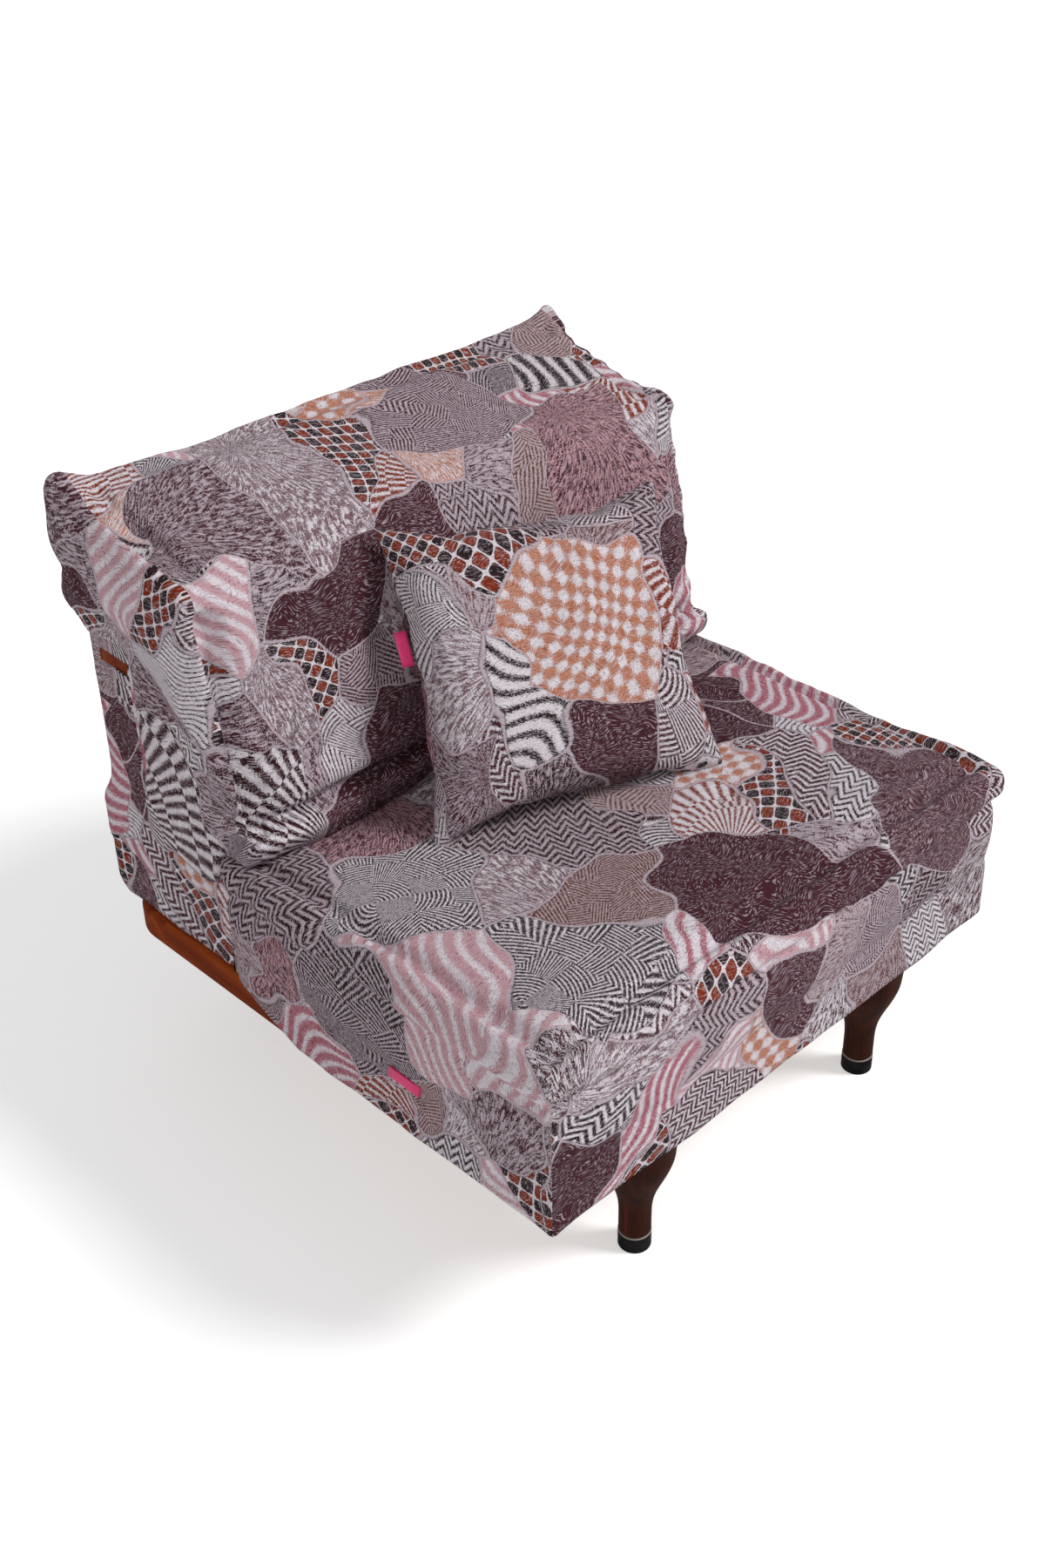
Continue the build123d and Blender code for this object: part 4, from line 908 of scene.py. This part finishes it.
slip_low, slip_high = (corner.copy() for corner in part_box("back_slipcover"))
plinth_low, plinth_high = (corner.copy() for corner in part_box("plinth_slipcover"))
slip_round, slip_cell = 0.009, 0.011
rail_low, rail_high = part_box("back_top_rail")
bm = bmesh.new()
side_corners = {
    (y, z): bm.verts.new((slip_low.x, y, z))
    for y, z in (
        (plinth_low.y, slip_low.z),
        (slip_low.y, slip_low.z),
        (slip_high.y, slip_low.z),
        (plinth_low.y, plinth_high.z),
        (slip_low.y, plinth_high.z),
        (slip_high.y, plinth_high.z),
        (slip_low.y, slip_high.z),
        (slip_high.y, slip_high.z),
    )
}
side_faces = [
    bm.faces.new([side_corners[y, z] for y, z in ((y0, z0), (y1, z0), (y1, z1), (y0, z1))])
    for y0, y1, z0, z1 in (
        (plinth_low.y, slip_low.y, slip_low.z, plinth_high.z),
        (slip_low.y, slip_high.y, slip_low.z, plinth_high.z),
        (slip_low.y, slip_high.y, plinth_high.z, slip_high.z),
    )
]
made = bmesh.ops.extrude_face_region(bm, geom=side_faces)["geom"]
far_side = [item for item in made if isinstance(item, bmesh.types.BMVert)]
bmesh.ops.translate(bm, vec=(slip_high.x - slip_low.x, 0, 0), verts=far_side)
bmesh.ops.recalc_face_normals(bm, faces=bm.faces)
bmesh.ops.delete(
    bm, geom=[face for face in bm.faces if face.calc_center_median().z < slip_low.z + 1e-5], context="FACES"
)
sharp = [edge for edge in bm.edges if edge.is_manifold and edge.calc_face_angle(0) > 1.0]
bmesh.ops.bevel(bm, geom=sharp, offset=slip_round, segments=3, profile=0.5, affect="EDGES", material=-1)
for axis, low, high in (
    (0, slip_low.x + slip_round, slip_high.x - slip_round),
    (1, plinth_low.y + slip_round, slip_low.y - slip_round),
    (1, slip_low.y + slip_round, slip_high.y - slip_round),
    (2, slip_low.z, plinth_high.z - slip_round),
    (2, plinth_high.z + slip_round, slip_high.z - slip_round),
):
    steps = round((high - low) / slip_cell)
    for step in range(1, steps):
        cut_across(bm, axis, low + (high - low) * step / steps)
for axis, value in ((1, rail_low.y), (1, rail_high.y), (2, rail_low.z), (2, rail_high.z)):
    cut_across(bm, axis, value)
slots = []
for face in bm.faces:
    middle = face.calc_center_median()
    in_rail = rail_low.y < middle.y < rail_high.y and rail_low.z < middle.z < rail_high.z
    if in_rail and abs(middle.x) > slip_high.x - 0.001:
        slots.append(face)
bmesh.ops.delete(bm, geom=slots, context="FACES")
cloth_map = bm.loops.layers.uv.new("cloth")
bm.normal_update()
for face in bm.faces:
    sizes = [abs(value) for value in face.normal]
    middle = face.calc_center_median()
    side = math.copysign(1, middle.x)
    for loop in face.loops:
        x, y, z = loop.vert.co
        if sizes[0] >= max(sizes[1], sizes[2]):
            flat_x, flat_y = side * slip_high.x + side * (slip_high.y - y), z
        elif sizes[2] >= sizes[1]:
            flat_x, flat_y = x, 1.2 + y
        else:
            flat_x, flat_y = x, z + (0.9 if middle.y < slip_low.y + slip_round else 0.0)
        loop[cloth_map].uv = (flat_x + 0.71, flat_y - 0.52)
slip_cover = new_piece("back_loose_cover", bm, jacquard, "base")

# Two puckers at each rear corner, and a slack fold from the top down to the plinth's front
for x in (slip_low.x, slip_high.x):
    outwards = Vector((-math.copysign(1, x), -1.0, 0)).normalized()
    for highest, lowest, width, depth in (
        (plinth_high.z + 0.022, plinth_high.z - 0.022, 0.022, 0.013),
        (slip_low.z + 0.058, slip_low.z + 0.022, 0.018, 0.010),
    ):
        press(slip_cover, [(x, slip_high.y, highest), (x, slip_high.y, lowest)], width, depth, outwards)
    fold_top = (x, slip_low.y + 0.01, slip_high.z - 0.05)
    fold_foot = (x, plinth_low.y + 0.03, slip_low.z + 0.03)
    press(slip_cover, [fold_top, fold_foot], 0.022, -0.004)
crumple(slip_cover, size=0.10, depth=0.005, seed=5.3, outward=0.35)
crumple(slip_cover, size=0.035, depth=0.002, seed=1.9, outward=0.35)
for low, high in ((slip_low, slip_high), (plinth_low, plinth_high + Vector((0, 0.03, 0)))):
    keep_outside(slip_cover, low, high - Vector((0, 0, slip_round)))
wall = slip_cover.modifiers.new("cloth_thickness", "SOLIDIFY")
wall.thickness = cloth_wall
wall.offset = -1
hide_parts("back_slipcover", "plinth_slipcover")

# Back cushion: a large case of the same jacquard, filled with fibre round a foam slab. It stands on
# the seat, leans on the frame and hangs over its top. Its edges are rolled, the roll along the foot
# is the thickest, and the cloth is gathered into the lower left corner.
cushion_low, cushion_high = (corner.copy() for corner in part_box("back_cushion_cover"))
edge_give = 0.012
foot = Vector((0, 0.086, 0.4075))
brow = Vector((0, 0.156, 0.7315))
peak = Vector((0, 0.396, 0.797))
frame_top = slip_high.z + 0.0005
frame_face = slip_low.y - 0.0005
shelf = plinth_high.z + 0.0005
heel = skirt_rear + 0.001
face_bow, shoulder, overhang, tuck, heel_round = 0.012, 0.018, 0.136, 0.042, 0.02
section = [
    (foot.y, foot.z),
    ((foot.y + brow.y) / 2 - face_bow, (foot.z + brow.z) / 2),
    (brow.y, brow.z),
    (peak.y, peak.z),
    (cushion_high.y, peak.z - shoulder),
    (cushion_high.y, peak.z - overhang),
    (cushion_high.y - tuck, frame_top),
    (frame_face, frame_top),
    (frame_face, shelf + heel_round),
    (frame_face - heel_round, shelf),
    (heel + heel_round, shelf),
    (heel, shelf + heel_round),
    (heel, foot.z),
]
bm = bmesh.new()
outline = [bm.verts.new((cushion_low.x + edge_give, y, z)) for y, z in section]
made = bmesh.ops.extrude_face_region(bm, geom=[bm.faces.new(outline)])["geom"]
bmesh.ops.translate(
    bm,
    vec=(cushion_high.x - cushion_low.x - 2 * edge_give, 0, 0),
    verts=[item for item in made if isinstance(item, bmesh.types.BMVert)],
)
bmesh.ops.recalc_face_normals(bm, faces=bm.faces)
back_cushion = new_piece("back_cushion_case", bm, jacquard, "back_cushion")
even = back_cushion.modifiers.new("even", "REMESH")
even.mode = "VOXEL"
even.voxel_size = 0.0082
apply_modifiers(back_cushion)
bm = bmesh.new()
bm.from_mesh(back_cushion.data)
for _ in range(3):
    bmesh.ops.smooth_vert(bm, verts=bm.verts, factor=0.5, use_axis_x=True, use_axis_y=True, use_axis_z=True)
bm.to_mesh(back_cushion.data)
bm.free()

side_x = cushion_high.x - edge_give
face_out = Vector((0, -(brow.z - foot.z), brow.y - foot.y)).normalized()


def on_face(x, z, out=0.0):
    """A point of the cushion's face at a height, moved out in front of it."""
    return Vector((x, foot.y + (brow.y - foot.y) * (z - foot.z) / (brow.z - foot.z), z)) + face_out * out


def on_top(x, y):
    """A point of the cushion's sloping top at a depth."""
    return Vector((x, y, brow.z + (peak.z - brow.z) * (y - brow.y) / (peak.y - brow.y)))


# The roll along the foot and the beads along the top edges, each with a valley beside it
press(back_cushion, [on_face(-0.385, 0.430), on_face(0.39, 0.430)], 0.017, -0.015)
puff(back_cushion, pressure=2.6, slack=0.028, frames=16, furthest=0.009, bending=0.25)
divide_once(back_cushion)
foot_crease = [on_face(-0.380, 0.460, 0.008), on_face(-0.11, 0.458, 0.012), on_face(0.395, 0.460, 0.009)]
press(back_cushion, foot_crease, 0.008, 0.023)
press(back_cushion, [on_face(-0.33, 0.484, 0.01), on_face(0.37, 0.484, 0.01)], 0.016, -0.005)
for side in (-1, 1):
    press(back_cushion, [on_top(side * 0.391, 0.385), on_top(side * 0.391, 0.17)], 0.012, -0.008)
    press(back_cushion, [on_top(side * 0.362, 0.355), on_top(side * 0.360, 0.19)], 0.010, 0.012)
press(back_cushion, [on_top(-0.37, 0.388), on_top(0.37, 0.388)], 0.011, -0.006)
press(back_cushion, [on_top(-0.36, 0.360), on_top(0.36, 0.360)], 0.011, 0.007)

# Horns at the rear corners, and on the left side two soft lobes with a crease between them
for side in (-1, 1):
    horn = Vector((side * side_x, peak.y, peak.z))
    inwards = Vector((-0.25 - side * 0.25, -0.3, -0.8))
    press(back_cushion, [horn, horn + Vector((0, 0.001, 0))], 0.034, 0.009, inwards)
for inset, drop, run, width, depth in (
    (0.020, 0.060, (0, 0.001, 0), 0.040, -0.008),
    (0.025, 0.128, (0, 0.001, 0), 0.025, -0.007),
    (0.0, 0.098, (0, -0.05, -0.003), 0.009, 0.011),
):
    start = Vector((-side_x, cushion_high.y - inset, peak.z - drop))
    press(back_cushion, [start, start + Vector(run)], width, depth)

# Folds of the face near its left edge and the gathers that run down to the lower left corner, each
# as points across, up and out from the face, its width and its depth
gather = (-0.375, 0.466, 0.004)
for line, width, depth in (
    (((-0.372, 0.70), (-0.384, 0.62), (-0.388, 0.53), (-0.384, 0.46)), 0.011, 0.014),
    (((-0.345, 0.69), (-0.35, 0.60), (-0.362, 0.52)), 0.018, -0.009),
    (((-0.378, 0.695), (-0.372, 0.702)), 0.022, 0.009),
    (((-0.30, 0.655, 0.012), (-0.325, 0.60, 0.012), (-0.352, 0.53, 0.01), gather), 0.009, 0.006),
    (((-0.27, 0.60, 0.012), (-0.315, 0.53, 0.012), gather), 0.009, 0.005),
    (((-0.24, 0.53, 0.012), (-0.31, 0.49, 0.01), gather), 0.008, 0.005),
    (((-0.285, 0.64, 0.012), (-0.31, 0.57, 0.012), (-0.345, 0.49, 0.01)), 0.010, -0.004),
):
    press(back_cushion, [on_face(*point) for point in line], width, depth)

# Two slack waves down the left gusset, as points rearwards and up
for line, width, depth in (
    (((0.30, 0.66), (0.20, 0.56), (0.12, 0.45)), 0.020, 0.007),
    (((0.26, 0.72), (0.20, 0.64), (0.14, 0.52)), 0.022, -0.008),
):
    press(back_cushion, [Vector((-side_x, y, z)) for y, z in line], width, depth)
back_button_spot = on_face(-0.141, 0.621)
for width, depth in ((0.040, 0.012), (0.012, 0.004)):
    press(back_cushion, [back_button_spot, back_button_spot + Vector((0.001, 0, 0))], width, depth)
crumple(back_cushion, size=0.11, depth=0.005, seed=2.3)
crumple(back_cushion, size=0.045, depth=0.0028, seed=4.1)

# It can't sink into the frame that it leans on, the plinth, or the seat that it stands on. A point
# that is a swelling or less below a top goes up to it, and a lower one goes beside what it is in.
swelling = 0.012
places, _ = points_of(back_cushion)
behind = (places[:, 1] > frame_face) & (places[:, 2] < frame_top)
places[behind & (places[:, 2] < frame_top - swelling), 1] = frame_face
places[behind, 2] = np.where(places[behind, 2] >= frame_top - swelling, frame_top, places[behind, 2])
hangs_behind_seat = places[:, 2] < foot.z - swelling
places[hangs_behind_seat, 1] = np.maximum(places[hangs_behind_seat, 1], heel)
lowest = np.where(places[:, 1] < heel, foot.z, shelf)
places[:, 2] = np.maximum(places[:, 2], lowest)
move_points(back_cushion, places)

# Flat cloth coordinates: round the section for the face, top and rear, and from the side for the
# gussets, which are cut apart at their seams
seam_x = side_x - 0.010
bm = bmesh.new()
bm.from_mesh(back_cushion.data)
for x in (-seam_x, seam_x):
    cut_across(bm, 0, x)
bmesh.ops.dissolve_degenerate(bm, edges=bm.edges, dist=5e-5)
bm.verts.index_update()
places = np.array([vert.co[:] for vert in bm.verts])
corners = np.array(section + section[:1])
runs = np.linalg.norm(np.diff(corners, axis=0), axis=1)
best, around = np.full(len(places), np.inf), np.zeros(len(places))
for start, end, length, before in zip(corners, corners[1:], runs, np.cumsum(runs) - runs):
    share = np.clip(((places[:, 1:] - start) @ (end - start)) / length**2, 0, 1)
    away = np.linalg.norm(places[:, 1:] - start - share[:, None] * (end - start), axis=1)
    around = np.where(away < best, before + share * length, around)
    best = np.minimum(best, away)
bm.verts.ensure_lookup_table()
cloth_map = bm.loops.layers.uv.new("cloth")
for face in bm.faces:
    middle = face.calc_center_median()
    for loop in face.loops:
        x, y, z = loop.vert.co
        if abs(middle.x) > seam_x:
            flat_x, flat_y = math.copysign(0.55, middle.x) + y - foot.y, z - foot.z
        else:
            flat_x, flat_y = x, around[loop.vert.index]
        loop[cloth_map].uv = (flat_x + 1.23, flat_y + 0.57)
bm.to_mesh(back_cushion.data)
bm.free()
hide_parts("back_cushion_cover", "back_cushion_core")
covered_button("back_covered_button", back_cushion, back_button_spot, face_out, "back_cushion")


# Throw pillow: two square panels of the jacquard sewn edge to edge and filled with loose fibre, so
# the edges draw in between four pointed corners. It leans on the back cushion, turned a little, and
# its weight spreads the lower edge.
pillow_turn, pillow_lean = math.radians(-17.4), math.radians(31.0)
cut_width, cut_height, cut_rise = 0.405, 0.392, 0.035
corner_shifts = {
    (-1, 1): (0.014, 0.014),
    (1, 1): (-0.012, -0.012),
    (-1, -1): (-0.016, 0.009),
    (1, -1): (-0.004, 0.0),
}
pillow_across = Vector((math.cos(pillow_turn), math.sin(pillow_turn), 0))
pillow_up = Vector(
    (
        -math.sin(pillow_turn) * math.sin(pillow_lean),
        math.cos(pillow_turn) * math.sin(pillow_lean),
        math.cos(pillow_lean),
    )
)
pillow_front = pillow_across.cross(pillow_up)
pillow_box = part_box("pillow_cover")
pillow_middle = (pillow_box[0] + pillow_box[1]) / 2
bm = bmesh.new()
bmesh.ops.create_grid(bm, x_segments=60, y_segments=58, size=0.5)
bmesh.ops.scale(bm, vec=(cut_width, cut_height, 1), verts=bm.verts)
front_verts = bm.verts[:]
rear_part = bmesh.ops.duplicate(bm, geom=bm.verts[:] + bm.edges[:] + bm.faces[:])["geom"]
rear_verts = [item for item in rear_part if isinstance(item, bmesh.types.BMVert)]
rear_faces = [item for item in rear_part if isinstance(item, bmesh.types.BMFace)]
bmesh.ops.reverse_faces(bm, faces=rear_faces)
cloth_map = bm.loops.layers.uv.new("cloth")
rear_set = set(rear_faces)
for face in bm.faces:
    for loop in face.loops:
        shift_x, shift_y = (3.1, 1.9) if face in rear_set else (2.72, 3.28)
        loop[cloth_map].uv = (loop.vert.co.x + shift_x, loop.vert.co.y + shift_y)
for verts, sign in ((front_verts, 1), (rear_verts, -1)):
    for vert in verts:
        u, v = abs(vert.co.x) / cut_width * 2, abs(vert.co.y) / cut_height * 2
        vert.co.z = sign * cut_rise * (1 - u**3) * (1 - v**3)
bmesh.ops.remove_doubles(bm, verts=bm.verts, dist=1e-5)
pillow = new_piece("pillow_case", bm, jacquard, "pillow")
puff(pillow, pressure=4.0, slack=0.01, frames=15, furthest=0.06)
divide_once(pillow)
places, _ = points_of(pillow)
for (right, top), (dx, dy) in corner_shifts.items():
    weight = (1 + right * places[:, 0] / cut_width * 2) * (1 + top * places[:, 1] / cut_height * 2) / 4
    places[:, 0] += weight * dx
    places[:, 1] += weight * dy
move_points(pillow, places)
crumple(pillow, size=0.07, depth=0.005, seed=8.2)
crumple(pillow, size=0.03, depth=0.0015, seed=5.9)
stand = Matrix((pillow_across, pillow_up, pillow_front)).transposed().to_4x4()
stand.translation = pillow_middle
pillow.data.transform(stand)
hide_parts("pillow_cover", "pillow_filling")
pillow_tag_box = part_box("pillow_tag")
pillow_tag_middle = (pillow_tag_box[0] + pillow_tag_box[1]) / 2
tag_width, tag_reach, tag_lift = 0.042, 0.014, 0.003
folded_ribbon(
    "pillow_ribbon_tag",
    "pillow_tag",
    "pillow",
    pillow_tag_middle + pillow_across * (tag_reach / 2),
    pillow_up * tag_width,
    pillow_across * -tag_reach,
    pillow_front * tag_lift,
)


# Floor: a plain, near white studio floor that only the sofa's soft shadow falls on. Seen directly
# or in a reflection it is lifted to the white of the backdrop.
def seen_directly(tree):
    """1 where the camera looks, itself or by way of metal or glass, and 0 for rays that only light."""
    rays = add_node(tree, "LightPath").outputs
    seen = rays["Is Camera Ray"]
    for kind in ("Is Glossy Ray", "Is Transmission Ray"):
        seen = add_node(tree, "Math", {0: seen, 1: rays[kind]}, operation="MAXIMUM")
    return seen


material, tree, shader = start_material("studio_floor", Roughness=0.9, Base_Color=linear("#EFEFEF"))
lift = add_node(tree, "Math", {0: seen_directly(tree), 1: 0.42}, operation="MULTIPLY")
shader.inputs["Emission Color"].default_value = linear("#FFFFFF")
tree.links.new(lift.outputs[0], shader.inputs["Emission Strength"])
bm = bmesh.new()
bmesh.ops.create_grid(bm, x_segments=1, y_segments=1, size=20.0)
new_piece("studio_floor", bm, material, None)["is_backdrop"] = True

# Studio light: a white room for fill, and soft far lamps, the strongest from the upper right in
# front. Far lamps light the floor evenly.
world = bpy.data.worlds.new("studio")
world.use_nodes = True
bpy.context.scene.world = world
tree = world.node_tree
room = tree.nodes["Background"]
strength = {"Value": seen_directly(tree), "To Min": 0.28, "To Max": 1.0}
strength = add_node(tree, "MapRange", strength)
tree.links.new(strength.outputs[0], room.inputs["Strength"])
room.inputs["Color"].default_value = linear("#FFFFFF")
for name, place, width, power in (
    ("key", (2.3, -2.5, 3.6), 18.0, 2.15),
    ("fill", (-2.8, -1.6, 2.4), 35.0, 0.8),
):
    lamp_data = bpy.data.lights.new(name, "SUN")
    lamp_data.angle = math.radians(width)
    lamp_data.energy = power
    lamp = bpy.data.objects.new(name, lamp_data)
    lamp.location = place
    lamp.rotation_mode = "QUATERNION"
    lamp.rotation_quaternion = (Vector((0, 0, 0.4)) - Vector(place)).to_track_quat("-Z", "Y")
    bpy.context.collection.objects.link(lamp)

bpy.context.scene.view_settings.view_transform = "Standard"

sizes = {
    "cad": [list(corner) for corner in cad_box],
    "visual": [list(corner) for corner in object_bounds()],
}
